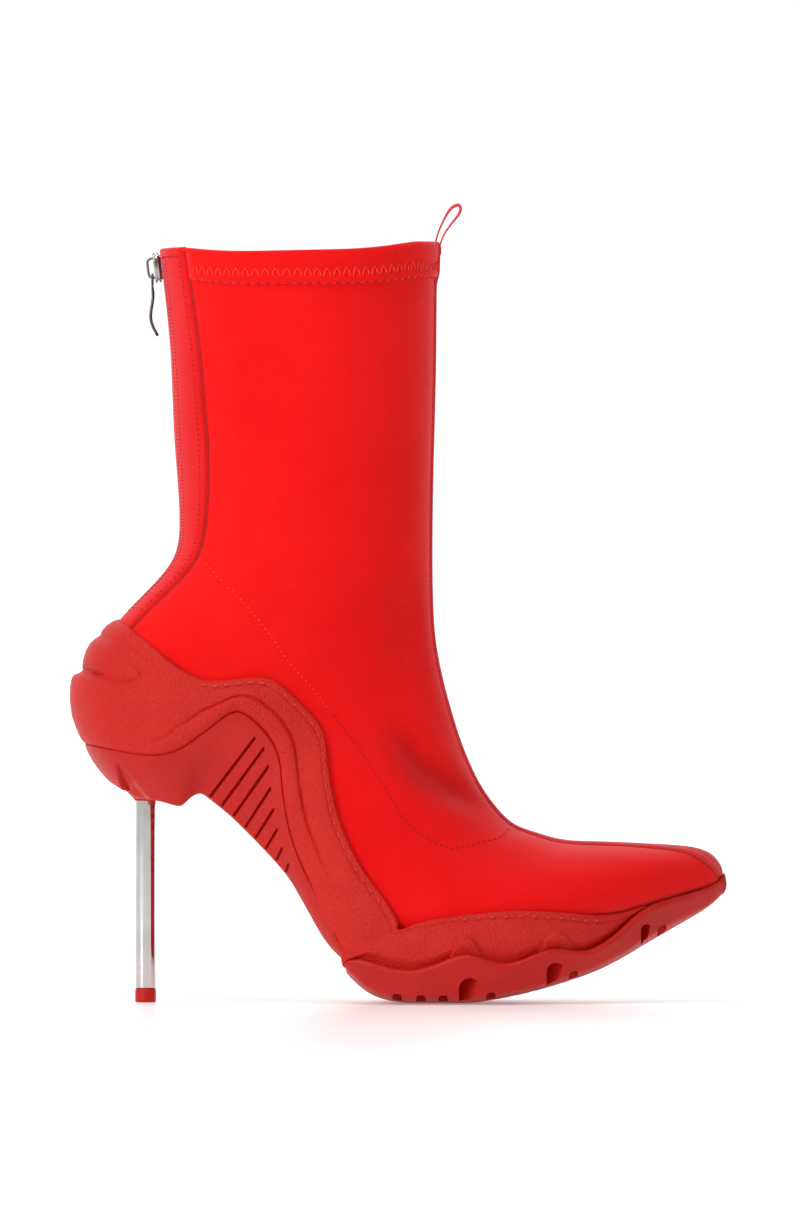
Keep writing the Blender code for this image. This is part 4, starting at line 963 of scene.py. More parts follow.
PLATE_LAYERS = [
    # height share_of_the_size
    (0.0, 0.9), (0.12, 0.97), (0.3, 1.0), (0.65, 1.0), (0.75, 0.86), (1.35, 0.86), (1.45, 1.0), (1.9, 1.0),
    (2.08, 0.97), (2.18, 0.9), (2.2, 0.8),
]
WEDGE_LAYERS = [(-1.9, 0.85), (-1.7, 1.0), (-0.6, 1.0), (0.3, 1.0)]


def slider_layers(layers, length, width, power, taper, count):
    """Boxy oval on the slider, which narrows downward by a taper; each layer has its height and share of the size."""
    turn = full_turn(count)
    long = boxy(np.sin(turn), power) / 2
    wide = boxy(np.cos(turn), power) / 2 * (1 - taper * ease(long + 0.1))
    height, share = np.array(layers).T[..., None]
    way = long * share * length + SLIDER_LENGTH / 2
    spot = SLIDER_TOP + way[..., None] * SLIDER_DOWN + height[..., None] * SLIDER_OUT
    return np.stack([spot[..., 0], wide * share * width, spot[..., 1]], axis=-1)


def bridge_rings():
    """Bridge: a flat oval carried along an arch that rises off the plate."""
    turn = np.linspace(0, math.pi, 24)
    along = SLIDER_LENGTH / 2 - boxy(np.cos(turn), 0.45) * BRIDGE_LENGTH / 2
    rise = PLATE - 0.6 + 2.8 * np.sin(turn) ** 0.45
    path = SLIDER_TOP + along[:, None] * SLIDER_DOWN + rise[:, None] * SLIDER_OUT
    return ribbon(even_path(path, 32), 2.0, BRIDGE_THICK, 16, 0.6)


plate = slider_layers(PLATE_LAYERS, SLIDER_LENGTH, SLIDER_WIDTH, 0.55, 0.28, 48)
wedge = slider_layers(WEDGE_LAYERS, 8.8, 3.2, 0.5, 0.0, 32)
add_rings("slider_cast", plate, NICKEL, ("zip_slider",))
add_rings("slider_bridge", bridge_rings(), NICKEL)
add_rings("slider_wedge", wedge, GUNMETAL)

PULL_WIDTH = 5.6
PULL_START = 3.0
EYE_ROD = 0.45
EYE_HALF = 2.1
EYE_CORNER = 0.6
OFF_PLATE = 0.35
PIVOT = SLIDER_TOP + SLIDER_DOWN * (SLIDER_LENGTH / 2 + BRIDGE_LENGTH / 2 - BRIDGE_THICK / 2 - FIT_GAP - EYE_ROD)
PIVOT = PIVOT + SLIDER_OUT * (PLATE + OFF_PLATE + EYE_ROD)
PULL_PATH = np.array([(0.0, 0.0), (0.1, 3.0), (-0.2, 8.0), (0.5, 13.0), (0.4, 17.0), (-0.8, 20.0), (-1.9, 22.0)])
print("pull turns about", PIVOT)


def make_pull():
    """Tab: a flat oval along a gentle double curve, tapering to its end, with a frame round its eye."""
    fine = even_path(PULL_PATH, 80)
    fine = fine[fine[:, 1] > PULL_START]
    tab = PIVOT - fine
    down = fine[:, 1]
    width = PULL_WIDTH * np.interp(down, [3.0, 3.7, 14.0, 19.0, 21.0, 22.0], [0.9, 1.0, 1.0, 0.92, 0.72, 0.4])
    thick = np.interp(down, [3.0, 6.0], [0.6, 1.15])[:, None]
    add_rings("pull_tab", ribbon(tab, width, thick, 24, 0.4), GUNMETAL, ("zip_pull",), "zip_pull")
    corner = np.linspace(0, math.pi / 2, 6)
    bend = EYE_CORNER * (1 - np.cos(corner))
    fall = EYE_CORNER - EYE_CORNER * np.sin(corner)
    y = np.concatenate([[-EYE_HALF], bend - EYE_HALF, EYE_HALF - bend[::-1], [EYE_HALF]])
    drop = np.concatenate([[3.6], fall, fall[::-1], [3.6]])
    path = even_path(np.stack([y, drop], axis=1), 40)
    run = unit(np.gradient(path, axis=0))
    turn = full_turn(12)
    across = path[:, None] + np.stack([-run[:, 1], run[:, 0]], axis=1)[:, None] * (EYE_ROD * np.cos(turn))[:, None]
    out = np.broadcast_to(EYE_ROD * np.sin(turn), across.shape[:2])
    rings = np.stack([PIVOT[0] + out, across[..., 0], PIVOT[1] - across[..., 1]], axis=-1)
    add_rings("pull_eye", rings, GUNMETAL, (), "zip_pull")


make_pull()

# %% [markdown]
# ## The moulded sole
# The rubber has three visible bodies: a cup round the foot with lobes at the heel, a block under the heel that
# runs down the waist as a ribbed shank, and the tread. All three share one set of side-view stations. Splines
# through the stations give smooth edges, and each body is a profile carried round the foot from edge to edge.

# %% Stations of the sole
HEEL_BACK = (-103.6, 78.9, -113.0, 93.0, -101.0, 137.3)
REAR = np.array([
    # bottom_x bottom_z line_x line_z top_x top_z bottom_y line_y belly band bead
    (-95.0, 73.7, -96.0, 89.9, -94.5, 133.2, 15.0, 27.0, 4.0, 0.5, 0.0),
    (-86.0, 72.5, -86.0, 89.3, -84.5, 125.0, 20.0, 29.5, 3.0, 5.5, 0.4),
    (-79.0, 70.8, -78.0, 91.6, -76.0, 118.9, 22.0, 30.5, 2.4, 8.5, 0.8),
    (-76.0, 72.4, -72.0, 95.6, -69.5, 116.2, 22.0, 31.5, 2.0, 9.0, 1.0),
    (-71.5, 75.2, -65.0, 101.0, -62.5, 116.1, 22.0, 32.6, 1.4, 8.0, 1.0),
    (-67.0, 72.7, -57.5, 104.9, -54.0, 117.0, 22.0, 33.0, 1.0, 6.0, 1.0),
    (-62.0, 68.7, -51.5, 101.5, -46.0, 116.5, 22.0, 33.0, 1.0, 7.0, 1.0),
    (-56.3, 63.4, -46.0, 95.4, -38.5, 111.2, 22.0, 32.8, 1.0, 8.0, 1.0),
    (-51.5, 58.6, -42.7, 87.8, -31.5, 104.3, 22.5, 32.3, 1.0, 8.5, 1.0),
    (-47.5, 54.4, -41.8, 79.5, -26.8, 97.0, 23.0, 31.5, 1.0, 8.5, 1.0),
    (-43.6, 50.2, -40.6, 70.0, -25.2, 86.0, 23.5, 31.0, 1.0, 8.0, 1.0),
    (-39.4, 45.0, -38.6, 60.5, -22.9, 72.7, 24.5, 31.0, 1.0, 7.5, 0.8),
    (-35.5, 38.6, -34.5, 49.5, -18.5, 59.5, 25.5, 31.5, 1.0, 7.5, 0.4),
    (-31.0, 30.6, -29.5, 38.5, -11.6, 46.7, 27.0, 32.5, 1.0, 7.0, 0.0),
    (-26.0, 22.4, -25.4, 29.0, -4.5, 37.2, 29.0, 34.0, 1.0, 6.0, 0.0),
    (-20.4, 16.4, -20.8, 20.4, -0.6, 30.5, 31.5, 35.5, 1.0, 5.0, 0.0),
])
FORE = np.array([
    # bottom_x bottom_z line_x line_z top_x top_z bottom_y line_y
    (-19.2, 11.3, -19.6, 15.3, -0.1, 28.6, 30.0, 36.0),
    (-15.0, 7.0, -14.5, 16.3, 0.4, 26.9, 32.2, 37.3),
    (-9.5, 3.0, -8.5, 15.1, 5.5, 28.7, 34.1, 38.9),
    (-3.0, 0.8, -1.5, 13.2, 11.0, 30.3, 35.7, 40.1),
    (4.0, 0.0, 6.0, 12.7, 17.0, 31.3, 36.9, 41.0),
    (13.0, 0.0, 14.5, 15.2, 24.0, 32.2, 37.7, 41.5),
    (25.5, 0.0, 25.5, 18.2, 32.0, 33.0, 37.8, 41.8),
    (32.5, 0.8, 33.0, 15.9, 38.0, 33.5, 37.3, 41.6),
    (40.5, 2.3, 40.5, 15.2, 45.0, 33.7, 36.1, 41.0),
    (48.0, 4.0, 48.0, 17.9, 52.0, 33.4, 34.5, 39.8),
    (56.5, 6.4, 56.5, 20.3, 60.0, 32.9, 31.9, 37.6),
    (65.0, 9.1, 65.0, 19.2, 68.0, 32.1, 28.2, 33.8),
    (72.0, 11.8, 72.0, 21.4, 74.0, 32.1, 25.1, 30.3),
    (78.5, 15.0, 79.0, 26.6, 80.5, 33.0, 22.0, 26.3),
    (83.0, 17.5, 83.6, 30.9, 84.3, 34.0, 20.0, 23.8),
    (86.6, 19.7, 88.2, 34.3, 88.5, 35.2, 18.3, 21.8),
])
TOE = np.array([
    # bottom_x bottom_z line_x line_z bottom_y line_y
    (91.4, 22.5, 92.6, 36.3, 16.0, 19.5),
    (100.0, 27.4, 101.0, 38.5, 11.4, 14.4),
    (108.0, 32.0, 109.0, 40.6, 7.0, 9.8),
    (113.5, 35.9, 114.5, 42.7, 3.8, 5.6),
    (116.2, 38.6, 117.2, 44.6, 1.5, 2.6),
])
LIP = 2.4
HEEL_STEPS = 5


def heel_round(back, side):
    """Level curve round the heel: a quarter oval in plan from the back point to the first side station."""
    turn = np.linspace(0, math.pi / 2, HEEL_STEPS + 1)[:-1]
    return np.stack([side[0] - (side[0] - back[0]) * np.cos(turn), -side[1] * np.sin(turn) ** 0.9,
                     side[2] - (side[2] - back[1]) * np.cos(turn)], axis=1)


def rear_curve(back, x, z, half):
    """Stations of one edge of the rear sole, heel first, on the outer side."""
    return np.concatenate([heel_round(back, (x[0], half[0], z[0])), np.stack([x, -half, z], axis=1)])


def lip_half(x, z):
    """Half-width of the cup's upper edge: the last plus the thickness of the rubber."""
    return sock_half(x, z) + LIP


REAR_BOTTOM = rear_curve(HEEL_BACK[0:2], REAR[:, 0], REAR[:, 1], REAR[:, 6])
REAR_LINE = rear_curve(HEEL_BACK[2:4], REAR[:, 2], REAR[:, 3], REAR[:, 7])


def heel_rim():
    """Upper edge round the heel: a path on the last, lifted by the lip, from its back line to the first station."""
    along, angle = sock_angle(REAR[:1, 4], REAR[:1, 5], True)
    part = np.linspace(0, 1, HEEL_STEPS + 1)[:-1]
    start = float(sock_place(np.array([-99.0]), np.array([HEEL_BACK[5] - 1.2]))[0][0])
    way = start + (along[0] - start) * part ** 1.6
    rim = sock_surface(way, 1.5 * math.pi + (angle[0] - 1.5 * math.pi) * part, np.full(HEEL_STEPS, LIP))
    rim[:, 1] -= swing(rim[:, 0])
    return rim


REAR_TOP = rear_curve(HEEL_BACK[4:6], REAR[:, 4], REAR[:, 5], lip_half(REAR[:, 4], REAR[:, 5]))
REAR_TOP[:HEEL_STEPS] = heel_rim()
REAR_EXTRA = np.concatenate([np.repeat(REAR[:1, 8:11], HEEL_STEPS, axis=0), REAR[:, 8:11]])
CUP_LINE = np.concatenate([REAR_LINE, np.stack([FORE[:, 2], -FORE[:, 7], FORE[:, 3]], axis=1)])
FORE_HALF = lip_half(FORE[:, 4], np.maximum(FORE[:, 5], 30.6))
CUP_TOP = np.concatenate([REAR_TOP, np.stack([FORE[:, 4], -FORE_HALF, FORE[:, 5]], axis=1)])
CUP_EXTRA = np.concatenate([REAR_EXTRA, np.tile([0.8, 4.0, 0.0], (len(FORE), 1))])
print("stations of the cup on each side:", len(CUP_LINE))

# %% Curves round the sole
FLIP = np.array([1.0, -1.0, 1.0])


def mirrored(side):
    """Stations of the outer side run backward, then the same on the inner side, so that they join at the heel."""
    return np.concatenate([side[:0:-1], side * FLIP])


def knots_round(line):
    """Way along the mirrored stations of an edge, the knots for all its splines."""
    return gone(mirrored(line))


def outward(line):
    """Level direction square to a run of points that goes from the outer side round the heel to the inner.

    The waist climbs almost straight up, so there the direction is simply sideways.
    """
    run = np.gradient(line[:, :2], axis=0)
    away = unit(np.stack([-run[:, 1], run[:, 0], np.zeros(len(run))], axis=1))
    waist = ease((line[:, 0] + 82.0) / 12.0) * ease((40.0 - line[:, 0]) / 20.0)
    away += waist[:, None] * (np.sign(line[:, 1:2]) * np.array([0.0, 1.0, 0.0]) - away)
    return unit(away)


def with_swing(points):
    """Points moved sideways with the swing of the last."""
    moved = points.copy()
    moved[..., 1] += swing(points[..., 0])
    return moved


# %% [markdown]
# ### The cup
# Its wall rises from the wavy parting line to the edge on the knit. At the back three lobes bulge out with tight
# creases between them; the middle one ends on the side as a leaf. Along the parting line runs a proud bead, and
# over the forefoot two low hills stand above the crests of the tread.

# %% Wall of the cup
LOBE_AT, LOBE_OUT = np.array([
    # share_of_the_height out
    (0.0, 0.0), (0.06, 2.4), (0.12, 4.2), (0.22, 6.9), (0.35, 9.1), (0.46, 10.2), (0.53, 10.4), (0.56, 9.7),
    (0.576, 7.4), (0.59, 7.2), (0.62, 7.6), (0.68, 7.9), (0.75, 7.7), (0.81, 6.8), (0.85, 5.4), (0.866, 4.0),
    (0.88, 3.9), (0.91, 3.7), (0.95, 2.6), (1.0, 0.0),
]).T
CUP_THICK = 2.7
CHANNEL = 2.7
WITHIN = 1.0
LEAF = [(-112.7, 119.9), (-107.1, 117.4), (-100.6, 115.6), (-96.7, 115.5), (-93.0, 116.6), (-92.4, 118.4),
        (-94.0, 121.4), (-97.7, 124.8), (-102.0, 128.6)]
HILLS = [
    # middle_x peak_z half_width height
    (24.4, 25.0, 5.6, 7.0), (57.0, 26.6, 6.4, 7.0),
]


def softened(value, share):
    """Mean over the neighbouring columns with bell-shaped weights, mixed in by a share."""
    steps = np.arange(-12, 13)
    weight = np.exp(-(steps / 6.0) ** 2)
    mean = sum(w * np.roll(value, s, axis=0) for w, s in zip(weight, steps)) / weight.sum()
    return value + share * (mean - value)


def parting_groove(distance, x):
    """Rounded groove between cup and block at a distance from the parting line; it runs out toward the forefoot."""
    return 0.6 * rounded(distance, 1.3) * ease((-27.0 - x) / 8.0)


def cup_profile(columns, rows):
    """Wall of the cup as a grid: line to top as a straight share t, plus lobes, belly, bead and hills."""
    knots = knots_round(CUP_LINE)
    at = np.linspace(0, knots[-1], columns)
    line = spline(knots, mirrored(CUP_LINE), at)
    top = spline(knots, mirrored(CUP_TOP), at)
    extra = np.concatenate([CUP_EXTRA[:0:-1], CUP_EXTRA])
    belly, band, bead = np.stack([np.interp(at, knots, extra[:, k]) for k in range(3)])
    length = np.linalg.norm(top - line, axis=1)
    share = np.minimum(band / length, 0.45)[:, None]
    t = np.linspace(0, 1, rows)[None, :] * np.ones((columns, 1))
    away = outward(line)
    back = ease((-86.0 - line[:, :1]) / 26.0)
    out = np.interp(t, LOBE_AT, LOBE_OUT) * back + belly[:, None] * 4 * t * (1 - t) * (1 - back)
    out = out + bead[:, None] * np.sqrt(np.clip(1 - (2 * np.clip(t / share, 0, 1) - 1) ** 2, 0, 1))
    flat = line[:, None] + t[..., None] * (top - line)[:, None]
    flat[..., 1] = softened(flat[..., 1], ease((line[:, :1] + 34.0) / 8.0) * ease((14.0 - line[:, :1]) / 8.0))
    bare = flat + out[..., None] * away[:, None]
    far, way = from_line(even_path(LEAF, 40), bare[..., 0], bare[..., 2])
    fade = ease((34.0 - way) / 10.0) * ease((-88.0 - bare[..., 0]) / 3.0)
    out = out - 0.9 * np.exp(-(far / 0.8) ** 2) * fade
    for x, peak, wide, tall in HILLS:
        inside = (peak - bare[..., 2]) / tall - ((bare[..., 0] - x) / wide) ** 2
        out = out + 1.1 * ease(inside / 0.22)
    rise = t * length[:, None]
    fall = length[:, None] - rise
    fore = ease((line[:, :1] + 22.0) / 6.0)
    groove = parting_groove(rise, line[:, :1])
    inset = 1.5 * (1 - ease(rise / 4.5)) * fore * ease((90.0 - line[:, :1]) / 16.0)
    wave = 0.6 * np.exp(-((rise - share * length[:, None]) / 0.5) ** 2) * np.clip(bead[:, None] * 2, 0, 1)
    channel = 0.35 * np.exp(-((fall - CHANNEL) / 0.45) ** 2) * ease((line[:, :1] + 76.0) / 6.0)
    return flat, out - groove - inset - wave - channel - rounded(fall, 1.0), away


def make_cup():
    """Closed rings: up the wall, over the edge, down an inner face within the knit's wall, and a hidden foot."""
    flat, out, away = cup_profile(521, 64)
    wall = flat + out[..., None] * away[:, None]
    pick = np.linspace(flat.shape[1] - 1, 0, 7).astype(int)
    inner = flat[:, pick] - CUP_THICK * away[:, None]
    least = sock_half(inner[..., 0], inner[..., 2]) - WITHIN
    reach = np.maximum(np.abs(inner[..., 1]), least)
    reach[:, 0] = np.where(least[:, 0] > 8.0, least[:, 0], reach[:, 0])
    inner[..., 1] = np.sign(inner[..., 1]) * reach
    foot = flat[:, :1] - 1.9 * away[:, None] - np.array([0.0, 0.0, 2.0])
    rings = with_swing(np.concatenate([foot, wall, inner], axis=1))
    add_rings("heel_cup", rings, CUP, ("sole_cup",))
    return with_swing(wall)


cup_wall = make_cup()

# %% [markdown]
# ### The block and its ribbed shank
# Under the cup the block narrows to the stem, and its front runs down the waist with eight slanting slots on
# each side. The slots are thin valleys in the same grid, so its columns are close together there.

# %% The heel block
SLOTS = np.array([
    # upper_x upper_z lower_x lower_z
    (-51.5, 95.2, -67.3, 74.5), (-48.4, 91.3, -63.2, 71.1), (-46.7, 84.9, -59.1, 67.3), (-46.0, 77.0, -54.9, 63.2),
    (-44.9, 69.4, -51.5, 59.0), (-43.6, 62.2, -47.7, 55.3), (-41.7, 55.6, -43.9, 51.1), (-39.4, 49.8, -40.6, 46.7),
])
SLOT_HALF = 0.38
SLOT_DEPTH = 2.0
FACET_SLOPE = 0.36
FACET = np.array([(-101.0, 88.7), (-99.5, 79.6), (-91.2, 75.7)])
BLOCK_LINE = np.concatenate([REAR_LINE, [(-15.6, -35.4, 14.4)]])
BLOCK_BOTTOM = np.concatenate([REAR_BOTTOM, [(-15.4, -31.6, 12.2)]])


def slot_relief(x, z):
    """Steep-sided valleys along the slots, which run on a little past the lower edge."""
    relief = np.zeros_like(x)
    for upper_x, upper_z, lower_x, lower_z in SLOTS:
        ends = np.array([(upper_x, upper_z), (lower_x, lower_z)])
        ends[1] += unit(ends[1] - ends[0]) * 3.0
        far, _ = from_line(ends, x, z)
        relief = np.maximum(relief, np.exp(-(np.abs(far) / SLOT_HALF) ** 4))
    return relief


def facet_relief(x, z):
    """Three-cornered facet beside the stem: it deepens from its upper corner down, with a step at its rear edge."""
    first, second, third = FACET
    far = third - first
    side = second - first
    below = ((x - first[0]) * far[1] - (z - first[1]) * far[0]) / np.hypot(*far)
    right = (-(x - first[0]) * side[1] + (z - first[1]) * side[0]) / np.hypot(*side)
    return FACET_SLOPE * np.clip(first[1] - z, 0, 12) * ease((right + 0.3) / 0.6) * ease((below + 0.3) / 2.4)


def block_rings():
    """Rings across the block: down the outer wall, across the underside, up the inner wall, and back inside."""
    knots = gone(BLOCK_LINE)
    first, last = knots[[HEEL_STEPS + 3, HEEL_STEPS + 12]]
    heel, shank, end = np.linspace(0, first, 120), np.linspace(first, last, 430), np.linspace(last, knots[-1], 50)
    at = np.concatenate([heel[:-1], shank, end[1:]])[::-1]
    both = knots_round(BLOCK_LINE)
    shift = both[len(BLOCK_LINE) - 1]
    line, bottom = (spline(both, mirrored(edge), shift + at) * FLIP for edge in (BLOCK_LINE, BLOCK_BOTTOM))
    away = outward(line)
    t = np.linspace(1, 0, 54)[None, :]
    length = np.linalg.norm(line - bottom, axis=1)[:, None]
    swell = 1.2 * 4 * t * (1 - t) - rounded(t * length, 1.2) - parting_groove((1 - t) * length, line[:, :1])
    wall = bottom[:, None] + t[..., None] * (line - bottom)[:, None]
    beside = ease((np.abs(wall[..., 1]) - 5.0) / 6.0)
    x, z = wall[..., 0], wall[..., 2]
    swell = swell - beside * facet_relief(x, z) - SLOT_DEPTH * slot_relief(x, z)
    return wall + swell[..., None] * away[:, None], away, line, bottom


def make_block():
    """The outer half and its mirror image, joined by strips underneath and by a coarse inner face."""
    wall, away, line, bottom = block_rings()
    low = wall[:, -1]
    v = np.linspace(1, -1, 13)[1:-1]
    middle = (bottom - 1.2 * away) * np.array([1.0, 0.0, 1.0])
    across = middle[:, None] + (low - middle)[:, None] * np.stack([v ** 4, v, v ** 4], axis=-1)
    under = unit(np.gradient(bottom[:, [0, 2]], axis=0))
    nick = slot_relief(bottom[:, 0], bottom[:, 2])
    across[..., 0] += (nick * under[:, 1])[:, None]
    across[..., 2] -= (nick * under[:, 0])[:, None]
    hidden = line - 1.2 * away + unit(line - bottom) * 1.6
    wall = np.concatenate([hidden[:, None], wall], axis=1)
    inset = np.stack([line, 0.5 * (line + bottom), bottom], axis=1) - 3.0 * away[:, None]
    inset[:, 2, 2] += 3.0
    least = sock_half(inset[..., 0], inset[..., 2]) - WITHIN
    inset[..., 1] = -np.maximum(np.abs(inset[..., 1]), least) * (np.abs(inset[..., 1]) > 1e-6)
    rings = np.concatenate([wall, across, (wall * FLIP)[:, ::-1], inset * FLIP, inset[:, ::-1]], axis=1)
    add_rings("heel_core", with_swing(rings), BLOCK, ("heel_block",))


make_block()

# %% [markdown]
# ### The tread
# The forefoot stands on a tread with a wavy, rounded upper edge that stands proud of the cup. It runs up over
# the toe as a bumper. Rounded notches and shallow grooves are cut with exact Booleans, because a cut edge should
# stay crisp.

# %% The outsole
NOTCHES = np.array([(21.6, 29.3, 9.7), (53.0, 59.6, 15.0), (87.0, 91.0, 28.4)])
GROOVES = np.array([-0.5, 8.0, 16.0, 33.0, 41.0, 48.0, 62.6, 70.0, 77.0, 94.6])
POCKETS = np.array([-0.5, 8.0, 16.0, 33.0, 62.6, 94.6])


def tread_rings():
    """Rings across the tread: down one side, over the crowned underside, up the other, and back over the top."""
    edges = np.concatenate([FORE[:, [0, 1, 2, 3, 6, 7]], TOE])
    ahead = edges[:, 2] > 70.0
    edges[ahead, 5] = np.maximum(edges[ahead, 5], sock_half(edges[ahead, 2], edges[ahead, 3]) + 0.6)
    knots = gone(np.stack([edges[:, 2], edges[:, 5]], axis=1))
    at = np.linspace(0, 1, 340) ** 0.9 * knots[-1]
    bx, bz, lx, lz, by, ly = spline(knots, edges, at).T
    corner = rounded(at, 2.4)[:, None]
    line = np.stack([lx, -ly, lz - 0.7 * corner[:, 0]], axis=1)
    raised = np.stack([bx, -by, bz + 2.0 * np.minimum(1, by / 14)], axis=1)
    run = np.gradient(line[:, :2], axis=0)
    away = unit(np.stack([run[:, 1], -run[:, 0], np.zeros(len(run))], axis=1))
    t = np.linspace(1, 0, 40)[None, :]
    t = t + 0.12 * np.sin(2 * math.pi * t) / (2 * math.pi) * 2
    length = np.linalg.norm(line - raised, axis=1)[:, None]
    proud = np.clip((lx[-1] - lx) / 30.0, 0.25, 1)[:, None]
    swell = (2.8 - 0.9 * rounded((1 - t) * length, 3.0) - 0.9 * rounded(t * length, 2.6)) * proud - 0.8 * corner
    wall = raised[:, None] + t[..., None] * (line - raised)[:, None] + swell[..., None] * away[:, None]
    v = np.linspace(1, -1, 27)[1:-1]
    low = wall[:, -1]
    across = np.stack([low[:, :1] * np.ones_like(v), low[:, 1:2] * v,
                       bz[:, None] + (low[:, 2] - bz)[:, None] * np.abs(v) ** 3], axis=-1)
    share = np.array([-0.8, -0.5, 0.0, 0.5, 0.8])
    crown = 0.5 * ease((lx - 86.0) / 10.0) + 1.3 * ease((lx - 108.0) / 7.0)
    over = np.stack([wall[:, :1, 0] * np.ones_like(share), wall[:, :1, 1] * share,
                     wall[:, :1, 2] + crown[:, None] * (1 - share ** 2)], axis=-1)
    rings = np.concatenate([wall, across, (wall * FLIP)[:, ::-1], over], axis=1)
    middle = rings[-1].mean(axis=0)
    turn = np.linspace(0, math.pi / 2, 8)[1:]
    nose = middle + (rings[-1] - middle) * np.cos(turn)[:, None, None]
    nose[..., 0] += 1.1 * np.sin(turn)[:, None]
    rings = with_swing(np.concatenate([rings, nose]))
    rings[..., 2] = np.maximum(rings[..., 2], 0.0)
    return rings


def prism(outline, near, far):
    """Side-view outline carried from one y to another; each y is one number or one for each corner."""
    size = len(outline)
    ring = np.stack([outline[:, 0], np.zeros(size), outline[:, 1]], axis=1)
    ends = [ring + np.stack([np.zeros(size), np.broadcast_to(y, size), np.zeros(size)], axis=1) for y in (near, far)]
    sides = [(j, (j + 1) % size, size + (j + 1) % size, size + j) for j in range(size)]
    return np.concatenate(ends), sides + [tuple(range(size))[::-1], tuple(range(size, 2 * size))]


def cut_out(piece, forms):
    """Exact Boolean: all forms together are taken out of a piece, and the result is kept as a plain mesh."""
    points, faces = [], []
    for spots, sides in forms:
        base = sum(len(p) for p in points)
        points.append(spots)
        faces.extend(tuple(base + v for v in face) for face in sides)
    mesh = bpy.data.meshes.new("cuts")
    mesh.from_pydata((np.concatenate(points) * MM).tolist(), [], faces)
    shape = bmesh.new()
    shape.from_mesh(mesh)
    bmesh.ops.recalc_face_normals(shape, faces=shape.faces)
    shape.to_mesh(mesh)
    shape.free()
    cuts = put("cuts", mesh)
    step = piece.modifiers.new("cuts", "BOOLEAN")
    step.operation, step.solver, step.use_self, step.object = "DIFFERENCE", "EXACT", True, cuts
    result = bpy.data.meshes.new_from_object(piece.evaluated_get(bpy.context.evaluated_depsgraph_get()))
    piece.modifiers.clear()
    piece.data = result
    smooth(result, SHARP)
    bpy.data.objects.remove(cuts)
    print(piece.name, "after its cuts:", len(result.polygons), "faces")


def half_at(flat, x, z):
    """Half-width of the tread near a side-view place."""
    near = np.abs(flat[:, 0] - x) + np.abs(flat[:, 2] - z) < 3.0
    return np.abs(flat[near, 1] - swing(x)).max()


def cut_pair(outline, middle, near, far):
    """The same cut on the outer and on the inner side, between two distances from the middle of the foot."""
    shift = float(swing(middle))
    return [prism(outline, shift - far, shift - near), prism(outline, shift + near, shift + far)]


def dug(flat, middle, x, rise):
    """Outline of a small cut up into the underside, and the half-width of the tread there."""
    lower = np.concatenate([FORE[:, :2], TOE[:, :2]])
    x = middle + np.array(x)
    floor = np.interp(x, lower[:, 0], lower[:, 1])
    outline = np.stack([x, floor + np.array(rise)], axis=1)
    outline = np.concatenate([[(x[0], floor[0] - 4.0)], outline, [(x[-1], floor[-1] - 4.0)]])
    return outline, half_at(flat, middle, floor[1] + 3.0)


def tread_cuts(rings):
    """Slanting notches and small pockets in both edges, and short grooves under the ball and the toes."""
    flat = rings.reshape(-1, 3)
    past = 8.0
    forms = []
    for start, end, top in NOTCHES:
        radius = (end - start) / 2
        turn = np.linspace(0, math.pi, 17)
        middle = (start + end) / 2
        outline = np.stack([middle - radius * np.cos(turn), top - radius + radius * np.sin(turn)], axis=1)
        outline = np.concatenate([[(start, -4.0)], outline, [(end, -4.0)]])
        half = half_at(flat, middle, top)
        reach = np.interp(outline[:, 0], [start, end], [min(9.0, half * 0.5), 2.4])
        forms += cut_pair(outline, middle, half - reach, half + past)
    for middle in POCKETS:
        outline, half = dug(flat, middle, [-1.7, -1.2, 1.2, 1.7], [2.2, 3.4, 3.4, 2.2])
        forms += cut_pair(outline, middle, half - min(11.0, half * 0.45), half + past)
    for middle in GROOVES:
        outline, half = dug(flat, middle, [-1.2, -0.9, 0.9, 1.2], [0.4, 1.1, 1.1, 0.4])
        forms += cut_pair(outline, middle, 4.0, half * 0.5)
    return forms


def make_tread():
    """Rings of the tread with the cuts taken out."""
    rings = tread_rings()
    tread = add_rings("tread", rings, BLOCK, ("outsole",))
    cut_out(tread, tread_cuts(rings))


make_tread()

# %% [markdown]
# ### Stem, top piece and board
# The stem is turned from steel and mirrors the room, so it is a lathe profile with clean ends. The top piece
# under it is rubber, and the neck above is the rubber that grips the stem. Inside lies the board that the foot
# stands on.

# %% Turned pieces
STEM_X = -91.0
STEM = [(3.3, 5.15), (3.55, 5.25), (3.65, 5.5), (3.65, 30.0), (3.65, 60.0), (3.65, 84.0)]
TOP_PIECE = [(3.2, 0.0), (3.55, 0.12), (3.72, 0.45), (3.75, 1.0), (3.75, 4.2), (3.7, 4.75), (3.5, 5.05), (3.2, 5.1)]
NECK = [(3.68, 72.5), (3.85, 72.55), (3.95, 72.7), (4.1, 73.0), (4.6, 73.6), (5.4, 74.2), (5.6, 75.2)]


def lathe(profile):
    """Rings of a turned piece round the stem's axis: radius and height of each ring."""
    profile = np.array(profile)
    turn = full_turn(72)
    x = STEM_X + profile[:, :1] * np.cos(turn)
    y = float(swing(STEM_X)) + profile[:, :1] * np.sin(turn)
    return np.stack([x, y, np.repeat(profile[:, 1:], len(turn), axis=1)], axis=-1)


add_rings("stem", lathe(STEM), CHROME, ("heel_stem",))
add_rings("top_piece", lathe(TOP_PIECE), BLOCK, ("heel_tip",))
add_rings("stem_neck", lathe(NECK), BLOCK)

